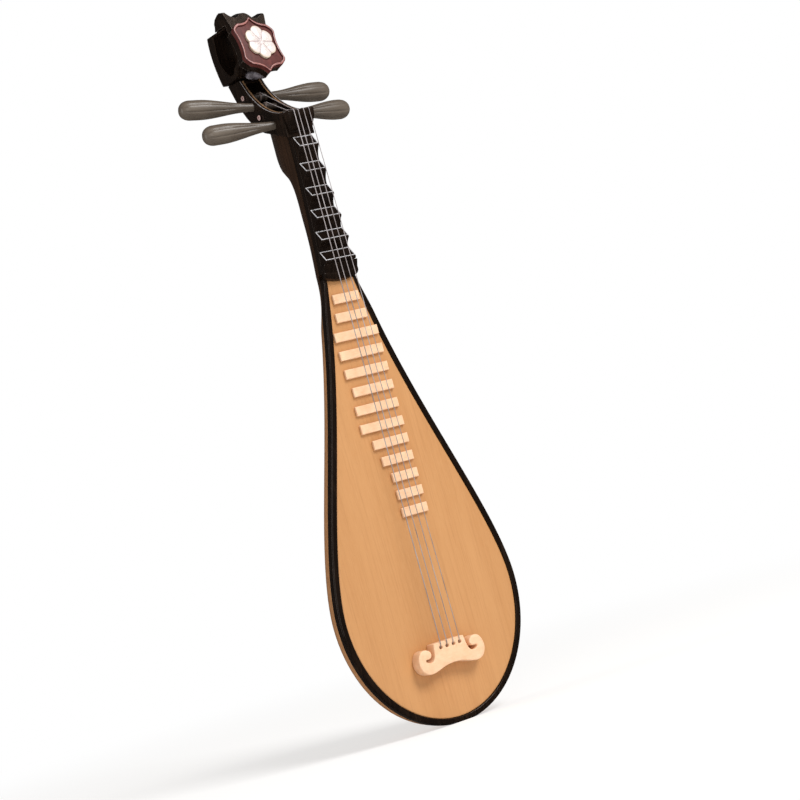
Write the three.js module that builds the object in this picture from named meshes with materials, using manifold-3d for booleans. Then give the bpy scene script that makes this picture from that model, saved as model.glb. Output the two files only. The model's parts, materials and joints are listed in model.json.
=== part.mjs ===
// A desk-size pipa: a pear-shaped lute with a bent-back peg box and a carved head.
// Millimetres. +Z runs up the neck, the soundboard faces -Y, +X is the viewer's right.
// The pieces are laid out with the soundboard's face at y = 0, then all shifted together
// so that the origin lies on the small flat at the tail.
import * as THREE from 'three';
import { mergeVertices } from 'three/addons/utils/BufferGeometryUtils.js';
import Module from 'manifold-3d';

const wasm = await Module();
wasm.setup();

// ---------- driving dimensions ----------
const BOARD_HALF_WIDTH = 40.6;
const BOARD_BOTTOM = 2.0;
const BOARD_WIDEST = 49.6;          // height of the widest place
const BOARD_TOP = 184.0;
const BOARD_TOP_HALF = 6.5;
const BOARD_THICK = 3.0;
const RIM_WIDTH = 2.5;
const RIM_PROUD = 0.6;              // the rim stands this far in front of the soundboard
const FIT_GAP = 0.15;               // slack between pieces let into one another
const LIP_Y = BOARD_THICK;          // front plane of the carved back under board and rim
const WALL = 3.6;                   // wall of the carved back
const BACK_POWER = 2.5;             // superellipse exponent of the body's cross-section
const BACK_Y = 18.2;                // deepest point of the back
const TAIL_ROUND = 27.0;            // height over which the back rounds in to the tail
const TAIL_SINK = 0.5;              // how much of the tail's curve the flat takes off
const TAIL_MOUNT_Y = 5.2;           // middle of the back's share of the tail flat, the origin

const NECK_FRONT = 1.5;             // front plane of the brown neck
const FINGERBOARD_FACE = -1.5;      // front plane of the black fingerboard
const NECK_START = 187.2;           // the body's front plane ends here and the neck's begins
const JOINT_Z = 244.2;              // where the peg box joint meets the fingerboard's face
const JOINT_SLOPE = 0.38;           // rise of that joint per millimetre towards the back

const STRING_COUNT = 4;
const STRING_NUT_X = [-3.6, -1.6, 1.0, 3.55];
const STRING_PITCH_BRIDGE = 3.1;
const STRING_BRIDGE_SHIFT = 0.4;    // the row of string holes sits a little to the right
const STRING_RADIUS = [0.27, 0.25, 0.23, 0.21];
const STRING_Y_NUT = -6.75;
const STRING_Y_BRIDGE = -5.95;

const XIANG_EDGE_Z = [239.2, 228.8, 218.6, 209.3, 200.2, 191.8];
const XIANG_RISE = 4.3;             // length of the sloping top facet along the neck
const XIANG_TOP_RISE = 4.8;         // the top stop's facet is a little longer
const XIANG_EDGE_Y = -5.2;

const FRET_COUNT = 13;
const FRET_TOP_Z = 176.3;
const FRET_WIDE_COUNT = 8;          // these upper ones are spaced a little wider
const FRET_WIDE_PITCH = 7.65;
const FRET_PITCH = 7.24;
const FRET_LENGTH_Z = 3.9;
const FRET_HEIGHT = 1.4;
const FRET_REACH = 10.5;            // how far a full one runs to each side of the middle
const FRET_RIGHT_REACH = [6.2, 7.5];          // the two at the top; the others are full
const FRET_LEFT_REACH = [6.2, 7.3, 10.4, 10.4, 10.3, 8.9, 10.1, 10.2, 6.5, 4.5, 1.9, 1.9, 1.9];

const BOX_HALF = 6.6;               // outside half width of the peg box at the nut
const BOX_TOP_SHARE = 0.86;         // its width at the head, as a share of that
const SLOT_HALF = 4.2;              // half width of its string slot at the nut
const SHAFT_RADIUS = 1.45;
const PEG_ROOT_RADIUS = 1.75;
const PEG_MAX_RADIUS = 4.35;
const BORE_SLACK = 0.09;            // running clearance of a peg in the walls

const HEAD_HALF = 8.0;
const HEAD_BASE = 276.8;
const HEAD_TOP = 298.4;
const CROWN_HALF = 9.5;
const CROWN_FOOT_HALF = 8.3;        // the crown's sides flare outwards going up
const FRONT_SKEW = 0.135;           // the carved front drops this much per millimetre to +X
const PLATE_THICK = 3.4;            // black board behind the plaque
const PLAQUE_LEAN = 0.226;          // the plaque's top leans back this much per millimetre
const PLAQUE_Z = 286.3;
const PLAQUE_BACK_Y = 12.85;        // back plane of the plaque at its mid height
const PLAQUE_HALF_HEIGHT = 13.1;
const PLAQUE_HALF_WIDTH = 9.6;

// ---------- geometry helpers ----------
const vec = (x, y, z) => new THREE.Vector3(x, y, z);
const lerp = THREE.MathUtils.lerp;

function pointsShape(points) {
  return new THREE.Shape(points.map(([a, b]) => new THREE.Vector2(a, b)));
}

// A side profile given as (y, z), extruded across the instrument from xFrom to xTo.
function extrudeAcross(shape, xFrom, xTo, bevel = 0) {
  const geometry = new THREE.ExtrudeGeometry(shape, {
    depth: xTo - xFrom - 2 * bevel,
    bevelEnabled: bevel > 0,
    bevelSize: bevel,
    bevelThickness: bevel,
    bevelOffset: -bevel,
    bevelSegments: 1,
    curveSegments: 10,
  });
  geometry.translate(0, 0, xFrom + bevel);
  geometry.applyMatrix4(new THREE.Matrix4().makeBasis(vec(0, 1, 0), vec(0, 0, 1), vec(1, 0, 0)));
  return geometry;
}

// A front outline given as (x, z), extruded from yBack forwards to yFront.
function extrudeForward(shape, yBack, yFront, bevel = 0, curveSegments = 10) {
  const geometry = new THREE.ExtrudeGeometry(shape, {
    depth: yBack - yFront - 2 * bevel,
    bevelEnabled: bevel > 0,
    bevelSize: bevel,
    bevelThickness: bevel,
    bevelOffset: -bevel,
    bevelSegments: 1,
    curveSegments,
  });
  geometry.translate(0, 0, bevel);
  geometry.applyMatrix4(new THREE.Matrix4().makeBasis(vec(1, 0, 0), vec(0, 0, 1), vec(0, -1, 0)));
  geometry.translate(0, yBack, 0);
  return geometry;
}

function signedVolume(positions, index) {
  const corner = (i) => vec(positions[3 * i], positions[3 * i + 1], positions[3 * i + 2]);
  let total = 0;
  for (let i = 0; i < index.length; i += 3) {
    total += corner(index[i]).dot(corner(index[i + 1]).cross(corner(index[i + 2])));
  }
  return total / 6;
}

// A solid skin through closed rings of equal point count, capped at both ends.
function ringLoft(rings) {
  const count = rings[0].length;
  const positions = rings.flat().flatMap((p) => [p.x, p.y, p.z]);
  const index = [];
  for (let r = 0; r + 1 < rings.length; r += 1) {
    for (let i = 0; i < count; i += 1) {
      const j = (i + 1) % count;
      const a = r * count + i;
      const b = r * count + j;
      index.push(a, b, b + count, a, b + count, a + count);
    }
  }
  const addCap = (ringNumber, flip) => {
    const centre = rings[ringNumber].reduce((sum, p) => sum.add(p), vec(0, 0, 0)).divideScalar(count);
    const hub = positions.length / 3;
    positions.push(centre.x, centre.y, centre.z);
    for (let i = 0; i < count; i += 1) {
      const a = ringNumber * count + i;
      const b = ringNumber * count + ((i + 1) % count);
      index.push(...(flip ? [hub, b, a] : [hub, a, b]));
    }
  };
  addCap(0, true);
  addCap(rings.length - 1, false);
  if (signedVolume(positions, index) < 0) {
    for (let i = 0; i < index.length; i += 3) {
      [index[i + 1], index[i + 2]] = [index[i + 2], index[i + 1]];
    }
  }
  const geometry = new THREE.BufferGeometry();
  geometry.setAttribute('position', new THREE.Float32BufferAttribute(positions, 3));
  geometry.setIndex(index);
  return geometry;
}

// A round bar of the given radius along a bent line of points.
function sweepTube(points, radius, sides = 6) {
  const across = vec(1, 0, 0);
  const rings = points.map((point, i) => {
    const before = points[Math.max(i - 1, 0)];
    const after = points[Math.min(i + 1, points.length - 1)];
    const along = after.clone().sub(before).normalize();
    const side = across.clone().addScaledVector(along, -across.dot(along)).normalize();
    const up = along.clone().cross(side);
    return Array.from({ length: sides }, (_, k) => {
      const angle = (2 * Math.PI * k) / sides;
      return point.clone()
        .addScaledVector(side, radius * Math.cos(angle))
        .addScaledVector(up, radius * Math.sin(angle));
    });
  });
  return ringLoft(rings);
}

function toManifold(geometry) {
  const bare = geometry.clone();
  bare.deleteAttribute('normal');
  bare.deleteAttribute('uv');
  const merged = mergeVertices(bare, 1e-4);
  return new wasm.Manifold(new wasm.Mesh({
    numProp: 3,
    vertProperties: new Float32Array(merged.attributes.position.array),
    triVerts: new Uint32Array(merged.index.array),
  }));
}

function fromManifold(solid) {
  const mesh = solid.getMesh();
  const geometry = new THREE.BufferGeometry();
  geometry.setAttribute('position', new THREE.Float32BufferAttribute(mesh.vertProperties, 3));
  geometry.setIndex(new THREE.BufferAttribute(mesh.triVerts, 1));
  return geometry;
}

// Stretches a solid across the instrument by a factor that depends on height.
function spreadAcross(geometry, factorAt) {
  const places = geometry.attributes.position;
  for (let i = 0; i < places.count; i += 1) {
    places.setX(i, places.getX(i) * factorAt(places.getZ(i)));
  }
  return geometry;
}

function cut(geometry, cutters) {
  const whole = toManifold(geometry);
  return fromManifold(cutters.reduce((solid, tool) => solid.subtract(toManifold(tool)), whole));
}

// ---------- outlines ----------
// Right half of the soundboard's outline from the tail to the neck, moved out by offset.
function halfOutline(offset) {
  const points = [];
  const tailSteps = 12;
  for (let i = 0; i <= tailSteps; i += 1) {
    const angle = (-Math.PI / 2) * (1 - i / tailSteps);
    const x = (BOARD_HALF_WIDTH + offset) * Math.cos(angle);
    const z = BOARD_WIDEST + (BOARD_WIDEST - BOARD_BOTTOM + offset) * Math.sin(angle);
    points.push([x, z]);
  }
  const side = new THREE.CubicBezierCurve(
    new THREE.Vector2(BOARD_HALF_WIDTH, BOARD_WIDEST),
    new THREE.Vector2(BOARD_HALF_WIDTH, BOARD_WIDEST + 29),
    new THREE.Vector2(13.9, 130.7),
    new THREE.Vector2(BOARD_TOP_HALF, BOARD_TOP),
  );
  const sideSteps = 18;
  for (let i = 1; i <= sideSteps; i += 1) {
    const place = side.getPoint(i / sideSteps);
    const along = side.getTangent(i / sideSteps);
    points.push([place.x + along.y * offset, place.y - along.x * offset]);
  }
  return points;
}

function halfWidthAt(z, offset) {
  const points = halfOutline(offset);
  const upper = points.findIndex((p) => p[1] >= z);
  if (upper < 0) return points[points.length - 1][0];
  if (upper === 0) return points[0][0];
  const [a, b] = [points[upper - 1], points[upper]];
  return lerp(a[0], b[0], (z - a[1]) / (b[1] - a[1]));
}

// The whole outline, closed by a crest across the neck with its two corners cut off.
function bodyShape(offset, corner) {
  const right = halfOutline(offset);
  const topX = right[right.length - 1][0];
  const crest = BOARD_TOP + 1.2 + 0.7 * offset;
  right.push([topX, crest - corner]);
  right.push([topX - 0.3 * corner, crest - 0.3 * corner]);
  right.push([topX - corner, crest]);
  const left = right.slice(1).reverse().map(([x, z]) => [-x, z]);
  return pointsShape([...right, ...left]);
}

// ---------- body ----------
// How far back the body and neck reach, from the belly up to the peg box joint.
const backLine = new THREE.CatmullRomCurve3([
  vec(0, BACK_Y, 20), vec(0, BACK_Y, 55), vec(0, 16.6, 95), vec(0, 12.6, 140), vec(0, 8.9, 178),
  vec(0, 7.8, 200), vec(0, 8.9, 213), vec(0, 9.8, 223.5), vec(0, 11.9, 229.4), vec(0, 16.3, 234.4),
  vec(0, 17.7, 239), vec(0, 17.8, 246), vec(0, 17.6, 256),
], false, 'catmullrom', 0.5);

function backAt(z) {
  const line = backLine.getPoints(160);
  const upper = line.findIndex((p) => p.z >= z);
  const [a, b] = [line[Math.max(upper - 1, 0)], line[Math.max(upper, 1)]];
  const reach = z <= a.z ? a.y : lerp(a.y, b.y, (z - a.z) / (b.z - a.z));
  const climb = Math.min((z + TAIL_SINK) / TAIL_ROUND, 1);
  const rounding = (1 - (1 - climb) ** BACK_POWER) ** (1 / BACK_POWER);
  return lerp(LIP_Y, reach, rounding);
}

// Half width of the fingerboard and of the neck under it.
function neckHalf(z) {
  const t = THREE.MathUtils.clamp((z - NECK_START) / (JOINT_Z - NECK_START), 0, 1);
  return lerp(8.1, 4.9, 1 - (1 - t) ** 1.6);
}

function backSection(z, half, front, back, power) {
  const steps = 22;
  return Array.from({ length: steps + 1 }, (_, i) => {
    const angle = (Math.PI * i) / steps;
    const c = Math.cos(angle);
    const s = Math.sin(angle);
    const x = half * Math.sign(c) * Math.abs(c) ** (2 / power);
    return vec(x, front + (back - front) * Math.abs(s) ** (2 / power), z);
  });
}

// Rings of the belly, inset from its outside; near the neck they draw in to its width.
function bellyRings(inset, from, to, front) {
  const heights = [];
  const tailSteps = 10;
  for (let i = 0; i < tailSteps; i += 1) {
    heights.push(from + (BOARD_WIDEST - from) * (1 - Math.cos((Math.PI / 2) * (i / tailSteps))));
  }
  const bellySteps = 13;
  for (let i = 0; i <= bellySteps; i += 1) heights.push(lerp(BOARD_WIDEST, to, i / bellySteps));
  return heights.map((z) => {
    const nearNeck = THREE.MathUtils.smoothstep(z, 176, NECK_START);
    const half = lerp(halfWidthAt(z, RIM_WIDTH - inset), neckHalf(z) + 0.2, nearNeck);
    const back = Math.max(backAt(z) - inset, LIP_Y + 1);
    return backSection(z, half, front, back, BACK_POWER);
  });
}

function makeBackAndNeck() {
  const body = bellyRings(0.2, 0, NECK_START - 0.1, LIP_Y);
  const neckSteps = 16;
  const pillowPower = 3;
  const neck = Array.from({ length: neckSteps + 1 }, (_, i) => {
    const z = lerp(NECK_START + 0.1, 256, i / neckSteps);
    const power = lerp(BACK_POWER, pillowPower, i / neckSteps);
    const pillow = 0.3 * THREE.MathUtils.smoothstep(z, 216, 236);
    return backSection(z, neckHalf(z) + 0.2 + pillow, NECK_FRONT, backAt(z), power);
  });
  const outside = ringLoft([...body, ...neck]);
  const hollow = ringLoft(bellyRings(WALL, WALL + 1, BOARD_TOP - 15, LIP_Y - 1));
  const aboveJoint = extrudeAcross(pointsShape([
    [-10, JOINT_Z + JOINT_SLOPE * (-10 - FINGERBOARD_FACE)],
    [30, JOINT_Z + JOINT_SLOPE * (30 - FINGERBOARD_FACE)],
    [30, 270],
    [-10, 270],
  ]), -20, 20);
  return cut(outside, [hollow, aboveJoint]);
}

function makeSoundboard() {
  return extrudeForward(bodyShape(-FIT_GAP, 1.6), BOARD_THICK, 0);
}

function makeRim() {
  const outer = bodyShape(RIM_WIDTH, 1.0);
  outer.holes.push(bodyShape(0, 1.6));
  const ring = extrudeForward(outer, LIP_Y, -RIM_PROUD, 0.35);
  const underTail = extrudeForward(pointsShape([[-20, -5], [20, -5], [20, 0], [-20, 0]]), 20, -20);
  return cut(ring, [underTail]);
}

function makeBassBar(z) {
  const length = 2 * (halfWidthAt(z, RIM_WIDTH - WALL) - 3);
  const depth = 3.2;
  const bar = new THREE.BoxGeometry(length, depth, 2);
  return bar.translate(0, BOARD_THICK + depth / 2, z);
}

function makeSoundPost() {
  const z = 46;
  const radius = 1.6;
  const back = backAt(z) - WALL - 0.4;
  const post = new THREE.CylinderGeometry(radius, radius, back - BOARD_THICK, 16);
  return post.translate(0, (back + BOARD_THICK) / 2, z);
}

// ---------- neck ----------
function makeFingerboard() {
  const rings = [];
  const steps = 6;
  const top = JOINT_Z - FIT_GAP;
  for (let i = 0; i <= steps; i += 1) {
    const z = lerp(NECK_START + 0.2, top, i / steps);
    const half = neckHalf(z);
    rings.push([
      vec(-half, FINGERBOARD_FACE, z), vec(half, FINGERBOARD_FACE, z),
      vec(half, NECK_FRONT, z), vec(-half, NECK_FRONT, z),
    ]);
  }
  return ringLoft(rings);
}

// One raised stop: a sloping facet up to the playing edge, then a scooped run down.
function xiangRise(i) {
  return i === 0 ? XIANG_TOP_RISE : XIANG_RISE;
}

function makeXiang(i) {
  const edge = XIANG_EDGE_Z[i];
  const top = edge + xiangRise(i);
  const last = i === XIANG_EDGE_Z.length - 1;
  const bottom = last ? edge - 1.2 : XIANG_EDGE_Z[i + 1] + XIANG_RISE + 0.1;
  const foot = last ? -4.4 : FINGERBOARD_FACE - 0.25;
  const scoopSteps = 5;
  const profile = [[FINGERBOARD_FACE - 0.25, top], [XIANG_EDGE_Y, edge], [XIANG_EDGE_Y, edge - 0.5]];
  for (let s = 1; s <= scoopSteps; s += 1) {
    const t = s / scoopSteps;
    const drop = last ? t : Math.sin((t * Math.PI) / 2) ** 0.9;
    profile.push([lerp(XIANG_EDGE_Y, foot, drop), lerp(edge - 0.5, bottom, t)]);
  }
  const rings = profile.map(([y, z]) => {
    const half = neckHalf(z) - 0.15 + 0.09 * (y - FINGERBOARD_FACE);
    const base = neckHalf(z) - 0.15;
    return [
      vec(-half, y, z), vec(half, y, z),
      vec(base, FINGERBOARD_FACE, z), vec(-base, FINGERBOARD_FACE, z),
    ];
  });
  return ringLoft(rings);
}

// The pale line that frames a stop's sloping facet.
function makeXiangInlay(i) {
  const edge = XIANG_EDGE_Z[i];
  const line = 0.38;
  const lift = 0.16;
  const facet = (t, inset) => {
    const z = lerp(edge + xiangRise(i), edge, t);
    const y = lerp(FINGERBOARD_FACE - 0.25, XIANG_EDGE_Y, t);
    const half = neckHalf(z) - 0.15 + 0.09 * (y - FINGERBOARD_FACE);
    return { half: half - inset, y, z };
  };
  const outward = vec(0, -XIANG_RISE, -(XIANG_EDGE_Y - FINGERBOARD_FACE)).normalize().multiplyScalar(lift);
  const loop = (start, end, inset) => {
    const a = facet(start, inset);
    const b = facet(end, inset);
    return [vec(-a.half, a.y, a.z), vec(a.half, a.y, a.z), vec(b.half, b.y, b.z), vec(-b.half, b.y, b.z)];
  };
  const outer = loop(0.03, 0.97, 0.08);
  const inner = loop(0.03 + line / 5.5, 0.97 - line / 5.5, 0.08 + line);
  const raise = (p) => p.clone().add(outward);
  const rings = [outer, outer.map(raise), inner.map(raise), inner];
  const positions = rings.flat().flatMap((p) => [p.x, p.y, p.z]);
  const index = [];
  for (let r = 0; r < 4; r += 1) {
    for (let k = 0; k < 4; k += 1) {
      const a = r * 4 + k;
      const b = r * 4 + ((k + 1) % 4);
      const c = ((r + 1) % 4) * 4 + ((k + 1) % 4);
      const d = ((r + 1) % 4) * 4 + k;
      index.push(a, b, c, a, c, d);
    }
  }
  if (signedVolume(positions, index) < 0) index.reverse();
  const geometry = new THREE.BufferGeometry();
  geometry.setAttribute('position', new THREE.Float32BufferAttribute(positions, 3));
  geometry.setIndex(index);
  return geometry;
}

// The black slope below the lowest stop. It ends in a rounded ridge that bows down over
// the top of the soundboard.
function makeNeckEnd() {
  const top = XIANG_EDGE_Z[XIANG_EDGE_Z.length - 1] - 1.4;
  const bow = 1.5;
  const half = neckHalf(NECK_START) - 0.1;
  const steps = 8;
  const rings = Array.from({ length: steps + 1 }, (_, i) => {
    const x = lerp(-half, half, i / steps);
    const drop = bow * (1 - (x / half) ** 2);
    const ridge = [
      [-4.4, 0], [-3.7, 1.4], [-3.0, 2.9], [-3.1, 3.6], [-3.0, 4.3], [-2.4, 5.0], [-1.4, 5.5], [-0.8, 5.6],
    ];
    const outline = ridge.map(([y, down]) => vec(x, y, top - down * (1 + drop / 5.6)));
    return [
      vec(x, FINGERBOARD_FACE, top), ...outline,
      vec(x, -0.8, NECK_START), vec(x, FINGERBOARD_FACE, NECK_START),
    ];
  });
  return ringLoft(rings);
}

function makeFret(i) {
  const wide = Math.min(i, FRET_WIDE_COUNT - 1);
  const z = FRET_TOP_Z - FRET_WIDE_PITCH * wide - FRET_PITCH * (i - wide);
  const right = FRET_RIGHT_REACH[i] ?? FRET_REACH;
  const left = FRET_LEFT_REACH[i];
  const half = FRET_LENGTH_Z / 2;
  const shape = pointsShape([[-left, z - half], [right, z - half], [right, z + half], [-left, z + half]]);
  return extrudeForward(shape, 0, -FRET_HEIGHT, 0.25);
}

function bridgeX(i) {
  return STRING_BRIDGE_SHIFT + (i - (STRING_COUNT - 1) / 2) * STRING_PITCH_BRIDGE;
}

const NUT_TOP = 254.3;
const NUT_FOOT = 245.6;
const NUT_FOOT_HALF = 5.1;
const NUT_TOP_HALF = 6.1;

function makeNut() {
  const profile = pointsShape([
    [FINGERBOARD_FACE, NUT_FOOT], [-3.6, 247.2], [-4.4, 248.6], [-6.0, 250.6], [-6.3, 251.8],
    [-6.3, NUT_TOP - 0.5], [-5.8, NUT_TOP], [-2.6, NUT_TOP], [FINGERBOARD_FACE, NUT_TOP - 0.2],
  ]);
  const block = extrudeAcross(profile, -1, 1, 0.05);
  spreadAcross(block, (z) => lerp(NUT_FOOT_HALF, NUT_TOP_HALF, (z - NUT_FOOT) / (NUT_TOP - NUT_FOOT)));
  const notches = Array.from({ length: STRING_COUNT }, (_, i) => {
    const notch = new THREE.BoxGeometry(0.9, 8, 1.4);
    return notch.translate(STRING_NUT_X[i], -4, NUT_TOP + 0.1);
  });
  return cut(block, notches);
}

// ---------- bridge ----------
const BRIDGE_TOP = 33.2;
const BRIDGE_FRONT = -5.5;
const BRIDGE_HOLE_Z = 30.95;

// Right half of the bridge's front outline: a hooked scroll beside a flat tongue, with a
// J-shaped slit between the two.
function bridgeHalfShape() {
  const smooth = (pairs) => pairs.map(([x, z]) => new THREE.Vector2(x, z));
  const shape = new THREE.Shape();
  shape.moveTo(0, 23.8);
  shape.splineThru(smooth([
    [3.8, 23.5], [8.0, 22.3], [11.4, 21.7], [14.2, 22.7], [15.9, 25.4], [15.9, 28.4], [14.6, 31.1],
    [12.2, 31.9], [10.0, 31.0], [9.4, 29.3], [10.4, 27.9], [12.4, 27.9],
  ]));
  shape.lineTo(12.7, 27.3);
  shape.splineThru(smooth([[11.6, 26.5], [10.2, 26.3], [8.9, 27.0], [8.1, 28.8], [7.7, 31.0], [7.4, 32.9]]));
  shape.lineTo(7.0, BRIDGE_TOP);
  return shape;
}

function makeBridge() {
  const right = bridgeHalfShape().getPoints(2).map((p) => [p.x, p.y]);
  const left = right.slice(1).reverse().map(([x, z]) => [-x, z]);
  const body = extrudeForward(pointsShape([...right, ...left]), 0, BRIDGE_FRONT);
  const cutters = [];
  for (let i = 0; i < STRING_COUNT; i += 1) {
    const x = bridgeX(i);
    const hole = new THREE.CylinderGeometry(0.75, 0.75, 12, 12);
    cutters.push(hole.translate(x, -3, BRIDGE_HOLE_Z));
    const slot = new THREE.BoxGeometry(0.8, 1.6, 4);
    cutters.push(slot.translate(x, BRIDGE_FRONT, BRIDGE_HOLE_Z + 2));
  }
  return cut(body, cutters);
}

// ---------- peg box ----------
const boxFront = new THREE.CubicBezierCurve(
  new THREE.Vector2(-3.4, 254.4), new THREE.Vector2(5, 254.8),
  new THREE.Vector2(19.6, 262.6), new THREE.Vector2(25.2, 276.4),
);
const boxBack = new THREE.CubicBezierCurve(
  new THREE.Vector2(15, 250.8), new THREE.Vector2(21, 253.8),
  new THREE.Vector2(30.4, 263.2), new THREE.Vector2(34.6, 276.6),
);

// A line running along the peg box, share of the way from its front edge to its back.
function boxLine(share, from, to, steps) {
  return Array.from({ length: steps + 1 }, (_, i) => {
    const t = lerp(from, to, i / steps);
    const front = boxFront.getPoint(t);
    const back = boxBack.getPoint(t);
    return [lerp(front.x, back.x, share), lerp(front.y, back.y, share)];
  });
}

const boxStart = 0.12;

function jointAt(y) {
  return JOINT_Z + JOINT_SLOPE * (y - FINGERBOARD_FACE) + FIT_GAP;
}

// Each peg runs from its root on the outside of its own wall out to its tip.
const PEGS = [
  { name: 'upper_left', string: 1, root: vec(-6.5, 19.4, 263.2), tip: vec(-36.6, 25.6, 267.8) },
  { name: 'lower_left', string: 0, root: vec(-6.5, 6.5, 251.7), tip: vec(-36.1, 13.4, 253.1) },
  { name: 'upper_right', string: 2, root: vec(6.0, 23.6, 267.6), tip: vec(35.8, 25.6, 266.4) },
  { name: 'lower_right', string: 3, root: vec(6.5, 9.6, 255.8), tip: vec(34.9, 13.4, 255.0) },
];

function pegAxis(peg) {
  return peg.tip.clone().sub(peg.root).normalize();
}

// Places a solid built along +Z, with z = 0 at the root, onto the peg's axis.
function ontoPeg(geometry, peg) {
  const turn = new THREE.Quaternion().setFromUnitVectors(vec(0, 0, 1), pegAxis(peg));
  return geometry.applyQuaternion(turn).translate(peg.root.x, peg.root.y, peg.root.z);
}

const NEAR_WALL = 2.8;              // how far behind the root the peg is still in its own wall

function cylinderAlongZ(radius, from, to, sides = 20) {
  const geometry = new THREE.CylinderGeometry(radius, radius, to - from, sides);
  return geometry.rotateX(Math.PI / 2).translate(0, 0, (from + to) / 2);
}

// The peg box draws in from the nut up to the head.
function boxTaper(z) {
  return lerp(1, BOX_TOP_SHARE, THREE.MathUtils.smoothstep(z, 255, 273));
}

// How far behind its root a peg's shaft runs: into the middle of the far wall.
function shaftInside(peg) {
  const farWall = (SLOT_HALF + BOX_HALF) / 2 * boxTaper(peg.root.z);
  return (Math.abs(peg.root.x) + farWall) / Math.abs(pegAxis(peg).x);
}

function makePegBox() {
  const outline = [
    [FINGERBOARD_FACE, jointAt(FINGERBOARD_FACE)],
    [FINGERBOARD_FACE, 254.0],
    ...boxLine(0, boxStart, 1, 12),
    ...boxLine(1, 0, 1, 10).reverse(),
  ];
  const block = extrudeAcross(pointsShape(outline), -BOX_HALF, BOX_HALF, 0.4);
  spreadAcross(block, boxTaper);
  const slot = extrudeAcross(pointsShape([
    ...boxLine(-0.3, 0.3, 0.95, 8),
    ...boxLine(0.76, 0.3, 0.95, 8).reverse(),
    [12.8, 251.8], [8, 249.1], [1.5, 248.6], [-0.9, 250.6], [-0.9, 262],
  ]), -SLOT_HALF, SLOT_HALF);
  spreadAcross(slot, boxTaper);
  const bores = PEGS.flatMap((peg) => [
    ontoPeg(cylinderAlongZ(SHAFT_RADIUS + BORE_SLACK, -shaftInside(peg) - 0.4, 0), peg),
    ontoPeg(cylinderAlongZ(PEG_ROOT_RADIUS + BORE_SLACK, -NEAR_WALL - 0.3, 4), peg),
  ]);
  return cut(block, [slot, ...bores]);
}

// A narrow edging laid along the front of one peg box wall.
function makeBoxEdging(side, near, far, lift) {
  const bottom = boxLine(-0.01, boxStart + 0.02, 0.985, 12);
  const top = boxLine(-0.01 - lift / 11, boxStart + 0.02, 0.985, 12);
  const band = pointsShape([...top, ...bottom.reverse()]);
  return spreadAcross(extrudeAcross(band, side > 0 ? near : -far, side > 0 ? far : -near), boxTaper);
}

// ---------- pegs and strings ----------
// A turned peg with soft flutes along its grip and a plain shaft behind it.
function makePeg(peg) {
  const length = peg.tip.distanceTo(peg.root);
  const round = PEG_MAX_RADIUS - 0.1;
  const dome = 0.9 * round;
  const inside = shaftInside(peg);
  const stations = [
    [-inside, SHAFT_RADIUS - 0.2, 0],
    [-inside + 0.3, SHAFT_RADIUS, 0],
    [-NEAR_WALL - 0.9, SHAFT_RADIUS, 0],
    [-NEAR_WALL - 0.4, PEG_ROOT_RADIUS, 0],
    [0.6, PEG_ROOT_RADIUS, 0],
    [3.5, 1.85, 0.3],
    [7, 2.15, 0.7],
    [10.5, 2.75, 1],
    [14, 3.45, 1],
    [17.5, 4.05, 1],
    [21, PEG_MAX_RADIUS, 1],
    [length - dome, round, 1],
  ];
  const domeSteps = 4;
  for (let i = 1; i <= domeSteps; i += 1) {
    const angle = (Math.PI / 2) * (i / (domeSteps + 0.6));
    const z = length - dome + dome * Math.sin(angle);
    stations.push([z, round * Math.cos(angle) ** 0.8, 1 - i / domeSteps]);
  }
  const sides = 24;
  const fluteCount = 8;
  const rings = stations.map(([z, radius, flute]) => Array.from({ length: sides }, (_, k) => {
    const angle = (2 * Math.PI * k) / sides;
    const hollow = 0.28 * flute * (0.5 - 0.5 * Math.cos(fluteCount * angle));
    const r = radius - hollow;
    return vec(r * Math.cos(angle), r * Math.sin(angle), z);
  }));
  return ontoPeg(ringLoft(rings), peg);
}

const WINDING_TURNS = 3;
const WINDING_GATHER = 0.58;        // the strings draw together between the nut and the pegs

// Where along the shaft the string of this peg is wound, measured from the root.
function windingPlace(peg) {
  const wanted = STRING_NUT_X[peg.string] * WINDING_GATHER;
  const axis = pegAxis(peg);
  return (wanted - peg.root.x) / axis.x;
}

function makeWinding(peg) {
  const wire = STRING_RADIUS[peg.string];
  const inner = SHAFT_RADIUS + 0.04;
  const middle = windingPlace(peg);
  const start = middle - WINDING_TURNS * wire;
  const profile = [new THREE.Vector2(inner, start)];
  for (let turn = 0; turn < WINDING_TURNS; turn += 1) {
    const base = start + 2 * wire * turn;
    profile.push(new THREE.Vector2(inner + wire, base + 0.02));
    profile.push(new THREE.Vector2(inner + 1.8 * wire, base + 0.45 * wire));
    profile.push(new THREE.Vector2(inner + 1.8 * wire, base + 1.55 * wire));
  }
  profile.push(new THREE.Vector2(inner + wire, start + 2 * wire * WINDING_TURNS - 0.02));
  profile.push(new THREE.Vector2(inner, start + 2 * wire * WINDING_TURNS));
  profile.push(new THREE.Vector2(inner, start));
  const coil = new THREE.LatheGeometry(profile, 16).rotateX(Math.PI / 2);
  return ontoPeg(coil, peg);
}

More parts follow.
